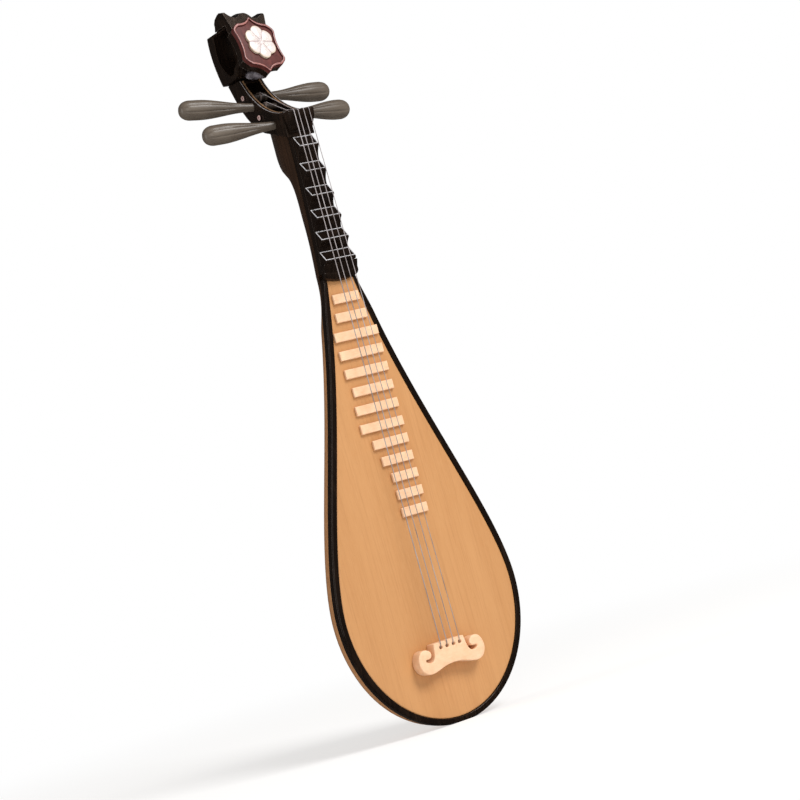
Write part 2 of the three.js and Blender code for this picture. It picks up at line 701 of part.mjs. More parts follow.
// A string from its bridge hole up the neck, over the nut and back to just short of its peg.
function makeString(peg) {
  const i = peg.string;
  const wire = STRING_RADIUS[i];
  const xBridge = bridgeX(i);
  const xNut = STRING_NUT_X[i];
  const axis = pegAxis(peg);
  const wound = peg.root.clone().addScaledVector(axis, windingPlace(peg));
  const clear = SHAFT_RADIUS + 0.04 + 1.8 * wire + wire + 0.3;
  const nutTop = vec(xNut, -1.2, NUT_TOP + wire);
  const away = vec(0, -1, 0.75).normalize();
  const end = wound.clone().addScaledVector(away, clear);
  return sweepTube([
    vec(xBridge, -2.6, BRIDGE_HOLE_Z + 0.1),
    vec(xBridge, -4.7, BRIDGE_HOLE_Z + 0.15),
    vec(xBridge, STRING_Y_BRIDGE + 0.35, BRIDGE_HOLE_Z + 0.7),
    vec(xBridge, STRING_Y_BRIDGE, BRIDGE_TOP),
    vec(lerp(xBridge, xNut, 0.5), lerp(STRING_Y_BRIDGE, STRING_Y_NUT, 0.5), lerp(BRIDGE_TOP, NUT_TOP, 0.5)),
    vec(xNut, STRING_Y_NUT, NUT_TOP - 1.2),
    vec(xNut, STRING_Y_NUT + 0.12, NUT_TOP - 0.2),
    vec(xNut, -5.9, NUT_TOP + wire * 0.8),
    nutTop,
    nutTop.clone().lerp(end, 0.5),
    end,
  ], wire);
}

// The spare end of a string, curled up where it comes out through the left wall.
function makeStringTail(y, z) {
  const steps = 13;
  const wall = -BOX_HALF * boxTaper(z);
  const points = Array.from({ length: steps }, (_, i) => {
    const t = i / (steps - 1);
    const angle = lerp(-0.6, 2.6 * Math.PI, t);
    const reach = lerp(1.0, 0.55, t);
    const across = y + 0.8 * reach * Math.cos(angle);
    return vec(wall - 0.25 - 0.7 * t, across, z + 1.1 * reach * Math.sin(angle));
  });
  return sweepTube(points, 0.2, 5);
}

// ---------- head ----------
function plaquePlane(z) {
  return PLAQUE_BACK_Y + PLAQUE_LEAN * (z - PLAQUE_Z);
}

// The front pieces of the head are carved a little askew: their left side sits higher.
function skewFront(geometry) {
  const skew = new THREE.Matrix4().set(1, 0, 0, 0, 0, 1, 0, 0, -FRONT_SKEW, 0, 1, 0, 0, 0, 0, 1);
  return geometry.applyMatrix4(skew);
}

// Solid in the middle, with a deep scoop in each side.
function makeHeadBlock() {
  const seat = (z) => plaquePlane(z) + PLATE_THICK + FIT_GAP;
  const profile = new THREE.Shape();
  profile.moveTo(34.8, HEAD_BASE);
  profile.quadraticCurveTo(38.8, 289.4, 36.9, HEAD_TOP);
  profile.lineTo(seat(HEAD_TOP), HEAD_TOP);
  profile.lineTo(seat(280.6), 280.6);
  profile.quadraticCurveTo(19.4, 280.2, 20.2, 278.6);
  profile.quadraticCurveTo(20.8, HEAD_BASE, 23.6, HEAD_BASE);
  const block = extrudeAcross(profile, -HEAD_HALF, HEAD_HALF, 0.4);
  const web = 1.6;
  const frontWall = 0.8;
  const ceiling = HEAD_TOP - 0.9;
  const scoop = new THREE.Shape();
  scoop.moveTo(31.0, ceiling);
  scoop.quadraticCurveTo(33.2, 289.5, 31.6, 285.6);
  scoop.quadraticCurveTo(29.6, 281.2, 26.0, 278.7);
  scoop.lineTo(23.2, 278.9);
  scoop.quadraticCurveTo(21.4, 281.6, 18.4, 282.2);
  scoop.lineTo(seat(284.5) + frontWall, 284.5);
  scoop.lineTo(seat(ceiling) + frontWall, ceiling);
  const recesses = [-1, 1].map((side) => {
    const [near, far] = side > 0 ? [web, 12] : [-12, -web];
    return extrudeAcross(scoop, near, far);
  });
  return cut(block, recesses);
}

// Wavy top edge of the crown between its two horns, then down its sides to the foot.
function crownShape(foot) {
  const side = [
    [CROWN_FOOT_HALF, foot], [CROWN_FOOT_HALF, 296.4], [CROWN_HALF, 301.2], [CROWN_HALF - 0.1, 302.0],
    [8.7, 302.1],
  ];
  const front = new THREE.Shape();
  front.moveTo(...side[0]);
  side.slice(1).forEach(([x, z]) => front.lineTo(x, z));
  front.quadraticCurveTo(7.2, 300.6, 5.4, 299.9);
  front.quadraticCurveTo(3.6, 299.6, 2.6, 300.9);
  front.quadraticCurveTo(1.4, 302.1, 0, 302.1);
  front.quadraticCurveTo(-1.4, 302.1, -2.6, 300.9);
  front.quadraticCurveTo(-3.6, 299.6, -5.4, 299.9);
  front.quadraticCurveTo(-7.2, 300.6, -8.7, 302.1);
  side.slice(0, -1).reverse().forEach(([x, z]) => front.lineTo(-x, z));
  return front;
}

// The roof block above the head, and the black board that runs down behind the plaque.
// Both are trimmed to the flat seat that the head block gives them.
function makeCrown() {
  const foot = 292;
  const top = 304;
  const frontTop = plaquePlane(302);
  const topRise = 0.25;               // the wavy top climbs this much per millimetre back
  const roof = toManifold(extrudeAcross(pointsShape([
    [plaquePlane(foot) + 0.02, foot], [plaquePlane(top) + 0.02, top], [19.0, top], [19.8, 302.9],
    [24.8, 301.6], [26.9, 300.3], [28.4, 297.3], [28.4, foot],
  ]), -CROWN_HALF - 1, CROWN_HALF + 1));
  const wavy = extrudeForward(crownShape(foot), 40, 5, 0, 4);
  const climb = new THREE.Matrix4().makeShear(0, 0, 0, topRise, 0, 0);
  climb.setPosition(0, 0, -topRise * frontTop);
  const carvedRoof = roof.intersect(toManifold(wavy.applyMatrix4(climb)));
  const board = ontoPlaque(extrudeForward(plaqueShape(0.15), PLATE_THICK + 0.3, 0, 0, 6));
  const seat = extrudeAcross(pointsShape([
    [plaquePlane(260) + PLATE_THICK, 260],
    [plaquePlane(HEAD_TOP + FIT_GAP) + PLATE_THICK, HEAD_TOP + FIT_GAP],
    [40, HEAD_TOP + FIT_GAP],
    [40, 260],
  ]), -20, 20);
  return cut(skewFront(fromManifold(carvedRoof.add(toManifold(board)))), [seat]);
}

// The small carved roll under the head, above the top of the string slot.
function makeHeadCurl() {
  const profile = new THREE.Shape();
  profile.moveTo(24.4, HEAD_BASE - 0.2);
  profile.lineTo(23.0, HEAD_BASE - 0.2);
  profile.quadraticCurveTo(20.4, HEAD_BASE, 19.7, 278.6);
  profile.quadraticCurveTo(17.2, 279.6, 16.2, 277.4);
  profile.quadraticCurveTo(15.8, 276.0, 16.4, 274.9);
  profile.quadraticCurveTo(16.6, 272.9, 18.6, 273.0);
  profile.quadraticCurveTo(20.6, 273.2, 20.9, 274.8);
  profile.lineTo(24.4, 275.6);
  return extrudeAcross(profile, -4.0, 4.0, 0.35);
}

// A shield with a cusp at top and bottom, in its own plane, shrunk by inset.
function plaqueShape(inset) {
  const half = PLAQUE_HALF_WIDTH - inset;
  const tall = PLAQUE_HALF_HEIGHT - inset * 1.25;
  const shoulder = PLAQUE_HALF_WIDTH - 2.7 - inset * 0.6;
  const shoulderRise = tall - 3.4;
  const cornerRise = 6.9 - inset * 0.4;
  const waist = half - 1.0;
  const shape = new THREE.Shape();
  shape.moveTo(0, tall);
  shape.quadraticCurveTo(2.0, tall - 3.5, shoulder, shoulderRise);
  shape.lineTo(half, cornerRise);
  shape.quadraticCurveTo(waist - 1.2, 0, half, -cornerRise);
  shape.lineTo(shoulder, -shoulderRise);
  shape.quadraticCurveTo(2.0, -tall + 3.5, 0, -tall);
  shape.quadraticCurveTo(-2.0, -tall + 3.5, -shoulder, -shoulderRise);
  shape.lineTo(-half, -cornerRise);
  shape.quadraticCurveTo(-waist + 1.2, 0, -half, cornerRise);
  shape.lineTo(-shoulder, shoulderRise);
  shape.quadraticCurveTo(-2.0, tall - 3.5, 0, tall);
  return shape;
}

// Lays a piece built in the plaque's own plane, front towards -Y, onto the leaning head.
function ontoPlaque(geometry) {
  return geometry.rotateX(-Math.atan(PLAQUE_LEAN)).translate(0, PLAQUE_BACK_Y - 0.05, PLAQUE_Z);
}

const BORDER_WIDTH = 0.9;
const BORDER_RISE = 0.6;
const PANEL_THICK = 1.8;

function makePlaque() {
  return skewFront(ontoPlaque(extrudeForward(plaqueShape(0), 0, -PANEL_THICK, 0, 6)));
}

// A raised bead that follows the plaque's edge.
function makePlaqueBorder() {
  const foot = -PANEL_THICK - 0.03;
  const outer = extrudeForward(plaqueShape(0.05), foot, foot - BORDER_RISE, 0, 6);
  const opening = extrudeForward(plaqueShape(0.05 + BORDER_WIDTH), foot + 1, foot - BORDER_RISE - 1, 0, 6);
  return skewFront(ontoPlaque(cut(outer, [opening])));
}

const FLOWER_SCALE = [0.89, 0.94];  // narrowing and shortening of a regular flower
const FLOWER_SHIFT = [1.1, 0.9];    // its middle lies to the right of the plaque's and above it

function makeFlower() {
  const petals = 6;
  const petalRadius = 2.95;
  const ring = 4.4;
  const reach = Math.acos((ring / 2) / petalRadius) + Math.PI / 6;
  const shape = new THREE.Shape();
  for (let k = 0; k < petals; k += 1) {
    const turn = Math.PI / 2 + (2 * Math.PI * k) / petals;
    const spread = Math.PI - reach - Math.PI / 6;
    const centre = [ring * Math.cos(turn), ring * Math.sin(turn)];
    shape.absarc(...centre, petalRadius, turn - spread, turn + spread, false);
  }
  shape.closePath();
  const petalSegments = 6;
  const flower = extrudeForward(shape, -PANEL_THICK - 0.03, -PANEL_THICK - 1.5, 0.3, petalSegments);
  flower.scale(FLOWER_SCALE[0], 1, FLOWER_SCALE[1]).translate(FLOWER_SHIFT[0], 0, FLOWER_SHIFT[1]);
  return skewFront(ontoPlaque(flower));
}

// ---------- materials and assembly ----------
const LOOKS = {
  brownLacquer: [0x3a2519, 0.3, 0],
  blackLacquer: [0x17120f, 0.3, 0],
  tanWood: [0xc8935a, 0.65, 0],
  bareWood: [0xb98f5e, 0.75, 0],
  cream: [0xf0d6ab, 0.5, 0],
  silverLine: [0xb8b4ae, 0.4, 0.2],
  tanLine: [0xb58a52, 0.5, 0],
  pegWood: [0x857a68, 0.45, 0],
  redWood: [0x5a3532, 0.45, 0],
  redEdge: [0xa4605a, 0.45, 0],
  shellWhite: [0xf6efe8, 0.35, 0],
  stringSteel: [0xaaa6a2, 0.35, 0.6],
};

const pipa = new THREE.Group();
pipa.name = 'pipa';

function add(name, geometry, look) {
  const [color, roughness, metalness] = LOOKS[look];
  const mesh = new THREE.Mesh(geometry, new THREE.MeshStandardMaterial({ color, roughness, metalness }));
  mesh.name = name;
  geometry.translate(0, -TAIL_MOUNT_Y, 0);
  pipa.add(mesh);
}

add('back_and_neck', makeBackAndNeck(), 'brownLacquer');
add('soundboard', makeSoundboard(), 'tanWood');
add('rim_binding', makeRim(), 'blackLacquer');
add('bass_bar_upper', makeBassBar(118), 'bareWood');
add('bass_bar_lower', makeBassBar(72), 'bareWood');
add('sound_post', makeSoundPost(), 'bareWood');
add('fingerboard', makeFingerboard(), 'blackLacquer');
add('neck_end_ridge', makeNeckEnd(), 'blackLacquer');
XIANG_EDGE_Z.forEach((_, i) => {
  add(`xiang_${i + 1}`, makeXiang(i), 'blackLacquer');
  add(`xiang_line_${i + 1}`, makeXiangInlay(i), 'silverLine');
});
for (let i = 0; i < FRET_COUNT; i += 1) add(`fret_${i + 1}`, makeFret(i), 'cream');
add('nut', makeNut(), 'blackLacquer');
add('bridge', makeBridge(), 'cream');
add('peg_box', makePegBox(), 'blackLacquer');
[['left', -1], ['right', 1]].forEach(([name, side]) => {
  add(`peg_box_edging_${name}`, makeBoxEdging(side, SLOT_HALF + 0.05, SLOT_HALF + 0.75, 0.3), 'tanLine');
  add(`peg_box_outline_${name}`, makeBoxEdging(side, BOX_HALF - 0.75, BOX_HALF - 0.4, 0.2), 'silverLine');
});
add('head_block', makeHeadBlock(), 'blackLacquer');
add('head_crown', makeCrown(), 'blackLacquer');
add('head_curl', makeHeadCurl(), 'blackLacquer');
add('plaque', makePlaque(), 'redWood');
add('plaque_border', makePlaqueBorder(), 'redEdge');
add('flower_inlay', makeFlower(), 'shellWhite');
PEGS.forEach((peg) => {
  add(`peg_${peg.name}`, makePeg(peg), 'pegWood');
  add(`winding_${peg.name}`, makeWinding(peg), 'stringSteel');
  add(`string_${peg.string + 1}`, makeString(peg), 'stringSteel');
});
add('string_tail_upper', makeStringTail(24.3, 268.4), 'stringSteel');
add('string_tail_lower', makeStringTail(14.8, 257.4), 'stringSteel');

export default pipa;
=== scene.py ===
import json
import math

import bmesh
import bpy
import numpy as np
from mathutils import Matrix, Vector


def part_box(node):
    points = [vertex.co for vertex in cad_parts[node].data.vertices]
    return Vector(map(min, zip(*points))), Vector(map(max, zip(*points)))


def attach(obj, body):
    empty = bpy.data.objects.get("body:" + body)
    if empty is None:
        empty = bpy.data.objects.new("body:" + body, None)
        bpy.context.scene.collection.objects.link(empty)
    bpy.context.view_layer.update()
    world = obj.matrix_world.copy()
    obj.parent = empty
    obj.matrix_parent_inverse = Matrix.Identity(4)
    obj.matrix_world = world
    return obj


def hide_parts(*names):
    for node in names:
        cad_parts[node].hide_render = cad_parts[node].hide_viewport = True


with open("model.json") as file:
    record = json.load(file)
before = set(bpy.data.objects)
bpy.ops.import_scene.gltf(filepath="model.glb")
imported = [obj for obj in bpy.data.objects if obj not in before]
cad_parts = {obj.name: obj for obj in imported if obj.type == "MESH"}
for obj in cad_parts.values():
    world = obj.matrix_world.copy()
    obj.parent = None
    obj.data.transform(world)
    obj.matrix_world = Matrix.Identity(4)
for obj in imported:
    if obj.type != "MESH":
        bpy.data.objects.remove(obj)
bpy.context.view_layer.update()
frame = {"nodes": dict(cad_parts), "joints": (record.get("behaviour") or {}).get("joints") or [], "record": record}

# A desk-size pipa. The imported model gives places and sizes; this script gives the fine
# surface. Lengths are in millimetres times MM, +Z runs up the neck, -Y is the front.
MM = 0.001
FRONT = Vector((0, -1, 0))

RECORD = frame["record"]
SLOT_OF = {part["node"]: part["material_slot"] for part in RECORD["subparts"]}
BODY_OF = {node: body for body, nodes in RECORD["behaviour"]["bodies"].items() for node in nodes}
NODES = sorted(frame["nodes"])

BOARD_LOW, BOARD_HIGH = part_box("soundboard")
RIM_LOW, RIM_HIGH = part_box("rim_binding")
NECK_LOW, NECK_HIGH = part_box("fingerboard")


# ---------- numbers ----------
def lerp(a, b, t):
    return a + (b - a) * t


def smoothstep(low, high, value):
    t = min(max((value - low) / (high - low), 0.0), 1.0)
    return t * t * (3 - 2 * t)


def unit(vector):
    return vector / np.linalg.norm(vector)


def spline(points, per_span, closed=False):
    """Centripetal Catmull-Rom curve through the points."""
    pts = [np.array(p, float) for p in points]
    if closed:
        run = [pts[-1], *pts, pts[0], pts[1]]
    else:
        run = [2 * pts[0] - pts[1], *pts, 2 * pts[-1] - pts[-2]]
    out = []
    for p0, p1, p2, p3 in zip(run, run[1:], run[2:], run[3:]):
        t0 = 0.0
        t1 = t0 + max(np.linalg.norm(p1 - p0), 1e-9) ** 0.5
        t2 = t1 + max(np.linalg.norm(p2 - p1), 1e-9) ** 0.5
        t3 = t2 + max(np.linalg.norm(p3 - p2), 1e-9) ** 0.5
        for k in range(per_span):
            t = lerp(t1, t2, k / per_span)
            a1 = lerp(p0, p1, (t - t0) / (t1 - t0))
            a2 = lerp(p1, p2, (t - t1) / (t2 - t1))
            a3 = lerp(p2, p3, (t - t2) / (t3 - t2))
            b1 = lerp(a1, a2, (t - t0) / (t2 - t0))
            b2 = lerp(a2, a3, (t - t1) / (t3 - t1))
            out.append(lerp(b1, b2, (t - t1) / (t2 - t1)))
    if not closed:
        out.append(pts[-1])
    return np.array(out)


def cut_corners(points, passes, closed=True):
    """Rounds an outline off by cutting each corner a quarter of the way along its sides."""
    pts = [np.array(p, float) for p in points]
    for _ in range(passes):
        out = [] if closed else [pts[0]]
        pairs = zip(pts, pts[1:] + pts[:1]) if closed else zip(pts, pts[1:])
        for a, b in pairs:
            out.append(lerp(a, b, 0.25))
            out.append(lerp(a, b, 0.75))
        pts = out if closed else [*out, pts[-1]]
    return np.array(pts)


# ---------- meshes ----------
def cad_points(node):
    co = np.array([v.co for v in frame["nodes"][node].data.vertices], float)
    return np.unique(np.round(co, 7), axis=0)


def make_object(name, vertices, faces):
    mesh = bpy.data.meshes.new(name)
    mesh.from_pydata([tuple(v) for v in vertices], [], faces)
    mesh.update()
    obj = bpy.data.objects.new(name, mesh)
    bpy.context.scene.collection.objects.link(obj)
    return obj


def tidy_mesh(obj, weld=0.002 * MM, sharp_degrees=42):
    """Merges doubled points, turns the faces outwards and smooths all but sharp edges."""
    bm = bmesh.new()
    bm.from_mesh(obj.data)
    bmesh.ops.remove_doubles(bm, verts=bm.verts, dist=weld)
    bmesh.ops.recalc_face_normals(bm, faces=bm.faces)
    bm.to_mesh(obj.data)
    bm.free()
    obj.data.shade_smooth()
    obj.data.set_sharp_from_angle(angle=math.radians(sharp_degrees))
    return obj


def loft(name, rings, sharp_degrees=42):
    """A closed skin through rings of equal point count, with a flat cap on both ends."""
    rings = np.array(rings, float)
    ring_count, side_count, _ = rings.shape
    vertices = [*rings.reshape(-1, 3), rings[0].mean(0), rings[-1].mean(0)]
    faces = []
    for r in range(ring_count - 1):
        for i in range(side_count):
            j = (i + 1) % side_count
            a, b = r * side_count + i, r * side_count + j
            faces.append((a, b, b + side_count, a + side_count))
    first_hub, last_hub = len(vertices) - 2, len(vertices) - 1
    last_ring = (ring_count - 1) * side_count
    for i in range(side_count):
        j = (i + 1) % side_count
        faces.append((first_hub, j, i))
        faces.append((last_hub, last_ring + i, last_ring + j))
    return tidy_mesh(make_object(name, vertices, faces), sharp_degrees=sharp_degrees)


def tube(name, points, radius_at, sides):
    """A round bar along a line; radius_at takes the distance from its start."""
    points = np.array(points, float)
    tangents = np.gradient(points, axis=0)
    tangents /= np.linalg.norm(tangents, axis=1)[:, None]
    side = unit(np.cross(tangents[0], (0.31, 0.87, 0.38)))
    turn = 2 * np.pi * np.arange(sides) / sides
    rings = []
    travelled = 0.0
    for i, (point, along) in enumerate(zip(points, tangents)):
        if i:
            travelled += np.linalg.norm(point - points[i - 1])
        side = unit(side - along * (side @ along))
        up = np.cross(along, side)
        radius = radius_at(travelled)
        rings.append(point + radius * (np.outer(np.cos(turn), side) + np.outer(np.sin(turn), up)))
    return loft(name, rings)


def closed_sweep(name, loop, profile):
    """Sweeps a closed profile of (outwards, y) pairs round a closed (x, z) loop."""
    loop = np.array(loop, float)
    along = np.roll(loop, -1, axis=0) - np.roll(loop, 1, axis=0)
    along /= np.linalg.norm(along, axis=1)[:, None]
    out = np.stack([along[:, 1], -along[:, 0]], axis=1)
    centre = loop.mean(0)
    if np.sum((loop - centre) * out) < 0:
        out = -out
    vertices = []
    for point, normal in zip(loop, out):
        for offset, y in profile:
            x, z = point + normal * offset
            vertices.append((x, y, z))
    faces = []
    rings, sides = len(loop), len(profile)
    for r in range(rings):
        for k in range(sides):
            a, b = r * sides + k, r * sides + (k + 1) % sides
            c, d = ((r + 1) % rings) * sides + (k + 1) % sides, ((r + 1) % rings) * sides + k
            faces.append((a, b, c, d))
    return tidy_mesh(make_object(name, vertices, faces))


def stand_for(obj, node, look):
    """obj is the fine version of this CAD node: same body, same material slot."""
    obj.data.materials.clear()
    obj.data.materials.append(look)
    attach(obj, BODY_OF[node])
    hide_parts(node)
    return obj


def smooth_shading_nodes():
    group = bpy.data.node_groups.new("shade_all_smooth", "GeometryNodeTree")
    group.interface.new_socket("Geometry", in_out="INPUT", socket_type="NodeSocketGeometry")
    group.interface.new_socket("Geometry", in_out="OUTPUT", socket_type="NodeSocketGeometry")
    start = group.nodes.new("NodeGroupInput")
    smooth = group.nodes.new("GeometryNodeSetShadeSmooth")
    end = group.nodes.new("NodeGroupOutput")
    group.links.new(start.outputs[0], smooth.inputs["Geometry"])
    group.links.new(smooth.outputs["Geometry"], end.inputs[0])
    return group


SHADE_SMOOTH = smooth_shading_nodes()


def weld(obj):
    merge = obj.modifiers.new("weld", "WELD")
    merge.merge_threshold = 0.002 * MM


def ease_edges(obj, width):
    """Rounds sharp edges by a small radius and leaves flat faces flat."""
    weld(obj)
    bevel = obj.modifiers.new("eased_edges", "BEVEL")
    bevel.width = width
    bevel.segments = 3
    bevel.limit_method = "ANGLE"
    bevel.angle_limit = math.radians(28)
    bevel.use_clamp_overlap = True
    smooth = obj.modifiers.new("smooth", "NODES")
    smooth.node_group = SHADE_SMOOTH
    normals = obj.modifiers.new("flat_faces_stay_flat", "WEIGHTED_NORMAL")
    normals.weight = 80


def keep_with_bevel(node, look, width):
    """Keeps a CAD node's shape, eases its edges by a small radius and gives it its look."""
    obj = frame["nodes"][node]
    obj.data.materials.clear()
    obj.data.materials.append(look)
    ease_edges(obj, width)
    return obj


def keep_as_carved(node, look, voxel, passes, thickness=0.05 * MM):
    """Keeps a CAD node's shape and rounds it over like carved, thickly lacquered wood."""
    obj = frame["nodes"][node]
    obj.data.materials.clear()
    obj.data.materials.append(look)
    weld(obj)
    remesh = obj.modifiers.new("carved", "REMESH")
    remesh.mode = "VOXEL"
    remesh.voxel_size = voxel
    remesh.use_smooth_shade = True
    smooth = obj.modifiers.new("lacquer_round", "SMOOTH")
    smooth.factor = 0.5
    smooth.iterations = passes
    coat = obj.modifiers.new("lacquer_coat", "DISPLACE")
    coat.strength = thickness
    coat.mid_level = 0.0
    return obj


def plaque_normal():
    """Direction in which the plaque's face looks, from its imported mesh."""
    best = max(frame["nodes"]["plaque"].data.polygons, key=lambda f: f.area * max(f.normal.dot(FRONT), 0))
    return best.normal.copy()


PLAQUE_OUT = plaque_normal()


# ---------- looks ----------
def display(red, green, blue):
    """Colour as seen on a screen, 0 to 255, turned into the renderer's linear values."""
    def linear(c):
        c = c / 255
        return c / 12.92 if c <= 0.04045 else ((c + 0.055) / 1.055) ** 2.4
    return (linear(red), linear(green), linear(blue), 1.0)


class Look:
    """A material put together from procedural nodes."""

    def __init__(self, name, roughness, coat=0.0, metal=0.0, coat_roughness=0.12):
        self.material = bpy.data.materials.new(name)
        self.material.use_nodes = True
        self.tree = self.material.node_tree
        self.surface = self.tree.nodes["Principled BSDF"]
        self.set(self.surface, "Roughness", roughness)
        self.set(self.surface, "Metallic", metal)
        self.set(self.surface, "Coat Weight", coat)
        self.set(self.surface, "Coat Roughness", coat_roughness)
        self.place = self.tree.nodes.new("ShaderNodeTexCoord").outputs["Object"]

    def set(self, node, key, value):
        socket = node.inputs[key]
        if isinstance(value, bpy.types.NodeSocket):
            self.tree.links.new(value, socket)
        else:
            socket.default_value = value

    def add(self, kind, inputs, output=0, **settings):
        node = self.tree.nodes.new(kind)
        for key, value in settings.items():
            setattr(node, key, value)
        for key, value in inputs.items():
            self.set(node, key, value)
        return node.outputs[output]

    def scaled(self, per_mm):
        """The place on the piece, counted in features per millimetre along x, y, z."""
        scale = [n / MM for n in per_mm]
        return self.add("ShaderNodeMapping", {"Vector": self.place, "Scale": scale})

    def noise(self, per_mm, detail=4.0, roughness=0.55, distortion=0.0):
        """Noise between 0 and 1 with this many features per millimetre along x, y, z."""
        return self.add("ShaderNodeTexNoise", {
            "Vector": self.scaled(per_mm),
            "Scale": 1.0,
            "Detail": detail,
            "Roughness": roughness,
            "Distortion": distortion,
        })

    def specks(self, per_mm, size):
        """Sparse dots: 1 inside a dot and 0 elsewhere."""
        inputs = {"Vector": self.scaled(per_mm), "Scale": 1.0, "Randomness": 1.0}
        reach = self.add("ShaderNodeTexVoronoi", inputs)
        return self.span(reach, size, 0.0)

    def span(self, value, low, high, out_low=0.0, out_high=1.0):
        return self.add("ShaderNodeMapRange", {
            "Value": value, "From Min": low, "From Max": high, "To Min": out_low, "To Max": out_high,
        }, clamp=True)

    def mix(self, share, first, second):
        node = self.tree.nodes.new("ShaderNodeMix")
        node.data_type = "RGBA"
        self.set(node, 0, share)
        self.set(node, 6, first)
        self.set(node, 7, second)
        return node.outputs[2]

    def math(self, operation, first, second=0.0):
        return self.add("ShaderNodeMath", {0: first, 1: second}, operation=operation)

    def dot(self, first, second):
        inputs = {0: first, 1: second}
        return self.add("ShaderNodeVectorMath", inputs, output="Value", operation="DOT_PRODUCT")

    def edges(self, reach_mm):
        """1 along edges and 0 on flats, worked out from how far a rounded normal turns there."""
        rounded = self.add("ShaderNodeBevel", {"Radius": reach_mm * MM}, samples=6)
        plain = self.add("ShaderNodeNewGeometry", {}, output="Normal")
        return self.span(self.dot(rounded, plain), 0.985, 0.9)

    # Mask of hollows from pointiness; the looks use it to paint shade into hollows, grooves and creases.
    def hollows(self, low=0.5, high=0.4):
        return self.span(self.add("ShaderNodeNewGeometry", {}, output="Pointiness"), low, high)

    def colour(self, value):
        self.set(self.surface, "Base Color", value)

    def roughness(self, value):
        self.set(self.surface, "Roughness", value)

    def bump(self, height, depth_mm, strength=1.0):
        inputs = {"Height": height, "Distance": depth_mm * MM, "Strength": strength}
        normal = self.add("ShaderNodeBump", inputs)
        self.set(self.surface, "Normal", normal)
        return normal


def tan_wood():
    """Oiled soundboard: straight fine grain up the board, broad warm bands, tiny pores."""
    look = Look("soundboard_tan", 0.5, coat=0.12, coat_roughness=0.4)
    lines = look.noise((1.6, 1.6, 0.03), detail=5, roughness=0.65)
    bands = look.noise((0.12, 0.1, 0.012), detail=3, distortion=0.4)
    fibre = look.noise((5.0, 5.0, 0.25), detail=3)
    pores = look.specks((0.5, 0.5, 0.22), 0.07)
    warm = look.mix(look.span(bands, 0.3, 0.7), display(194, 137, 82), display(202, 146, 91))
    grained = look.mix(look.span(lines, 0.5, 0.75, 0, 0.4), warm, display(166, 108, 58))
    fine = look.mix(look.span(fibre, 0.45, 0.75, 0, 0.3), grained, display(212, 162, 108))
    look.colour(look.mix(look.math("MULTIPLY", pores, 0.5), fine, display(140, 84, 44)))
    look.roughness(look.span(fibre, 0.2, 0.8, 0.42, 0.6))
    look.bump(look.math("ADD", lines, look.math("MULTIPLY", fibre, 0.5)), 0.05, 0.6)
    return look.material


def bare_wood():
    look = Look("inner_bare_wood", 0.7)
    lines = look.noise((0.06, 1.4, 1.4), detail=4)
    look.colour(look.mix(look.span(lines, 0.35, 0.7), display(204, 164, 112), display(172, 128, 82)))
    look.bump(lines, 0.06)
    return look.material


def lacquer(name, dark, light, worn_and_highlit, wear_and_highlight):
    """Thick gloss lacquer over wood: slight waves, faint streaks, dust and paler edges, partly worn and partly a
    painted highlight.
    """
    look = Look(name, 0.3, coat=0.22, coat_roughness=0.1)
    streaks = look.noise((0.9, 0.9, 0.05), detail=4, roughness=0.6)
    cloud = look.noise((0.09, 0.09, 0.06), detail=2)
    dust = look.specks((1.1, 1.1, 1.1), 0.1)
    rub_and_sheen = look.noise((1.5, 1.5, 1.0), detail=3)
    patchy = look.math("MULTIPLY", look.span(streaks, 0.4, 0.75), look.span(cloud, 0.3, 0.7))
    base = look.mix(patchy, dark, light)
    # Paler edges: partly rubbed-through wear, partly a painted highlight along the edges.
    rubbed_and_highlit_edges = look.math("MULTIPLY", look.edges(0.22), look.span(rub_and_sheen, 0.4, 0.65, 0.1, wear_and_highlight))
    edged = look.mix(rubbed_and_highlit_edges, base, worn_and_highlit)
    look.colour(look.mix(look.math("MULTIPLY", dust, 0.03), edged, display(150, 140, 130)))
    look.roughness(look.span(rub_and_sheen, 0.3, 0.7, 0.22, 0.32))
    look.set(look.surface, "Specular IOR Level", 0.16)
    look.set(look.surface, "Specular Tint", display(255, 226, 204))
    look.set(look.surface, "Coat Tint", display(255, 240, 228))
    waves = look.noise((0.22, 0.22, 0.16), detail=2)
    pits = look.noise((2.4, 2.4, 2.4), detail=2)
    height = look.math("ADD", waves, look.math("MULTIPLY", pits, 0.04))
    normal = look.bump(height, 0.22, 0.35)
    look.set(look.surface, "Coat Normal", normal)
    return look


def belly_lacquer():
    """Dark brown lacquer on the neck that thins out to oiled tan wood on the belly."""
    look = lacquer("brown_lacquer", display(42, 29, 21), display(68, 48, 35), display(120, 88, 60), 0.3)
    height = look.add("ShaderNodeSeparateXYZ", {"Vector": look.place}, output="Z")
    body = look.span(height, 184 * MM, 148 * MM)
    wipe = look.noise((0.05, 0.05, 0.02), detail=2)
    belly = look.math("MULTIPLY", look.span(wipe, 0.3, 0.7, 0.78, 0.95), body)
    fibre = look.noise((2.2, 2.2, 0.08), detail=4)
    tan = look.mix(look.span(fibre, 0.35, 0.7), display(188, 140, 97), display(156, 109, 71))
    dark = look.surface.inputs["Base Color"].links[0].from_socket
    look.colour(look.mix(belly, dark, tan))
    return look


def string_curl():
    """Bare string ends, paler and pinker than the wound part."""
    look = Look("string_end_pink", 0.3, coat=0.3)
    cloud = look.noise((1.5, 1.5, 1.5), detail=2)
    look.colour(look.mix(look.span(cloud, 0.35, 0.7), display(206, 176, 170), display(160, 122, 116)))
    look.bump(cloud, 0.03)
    return look.material


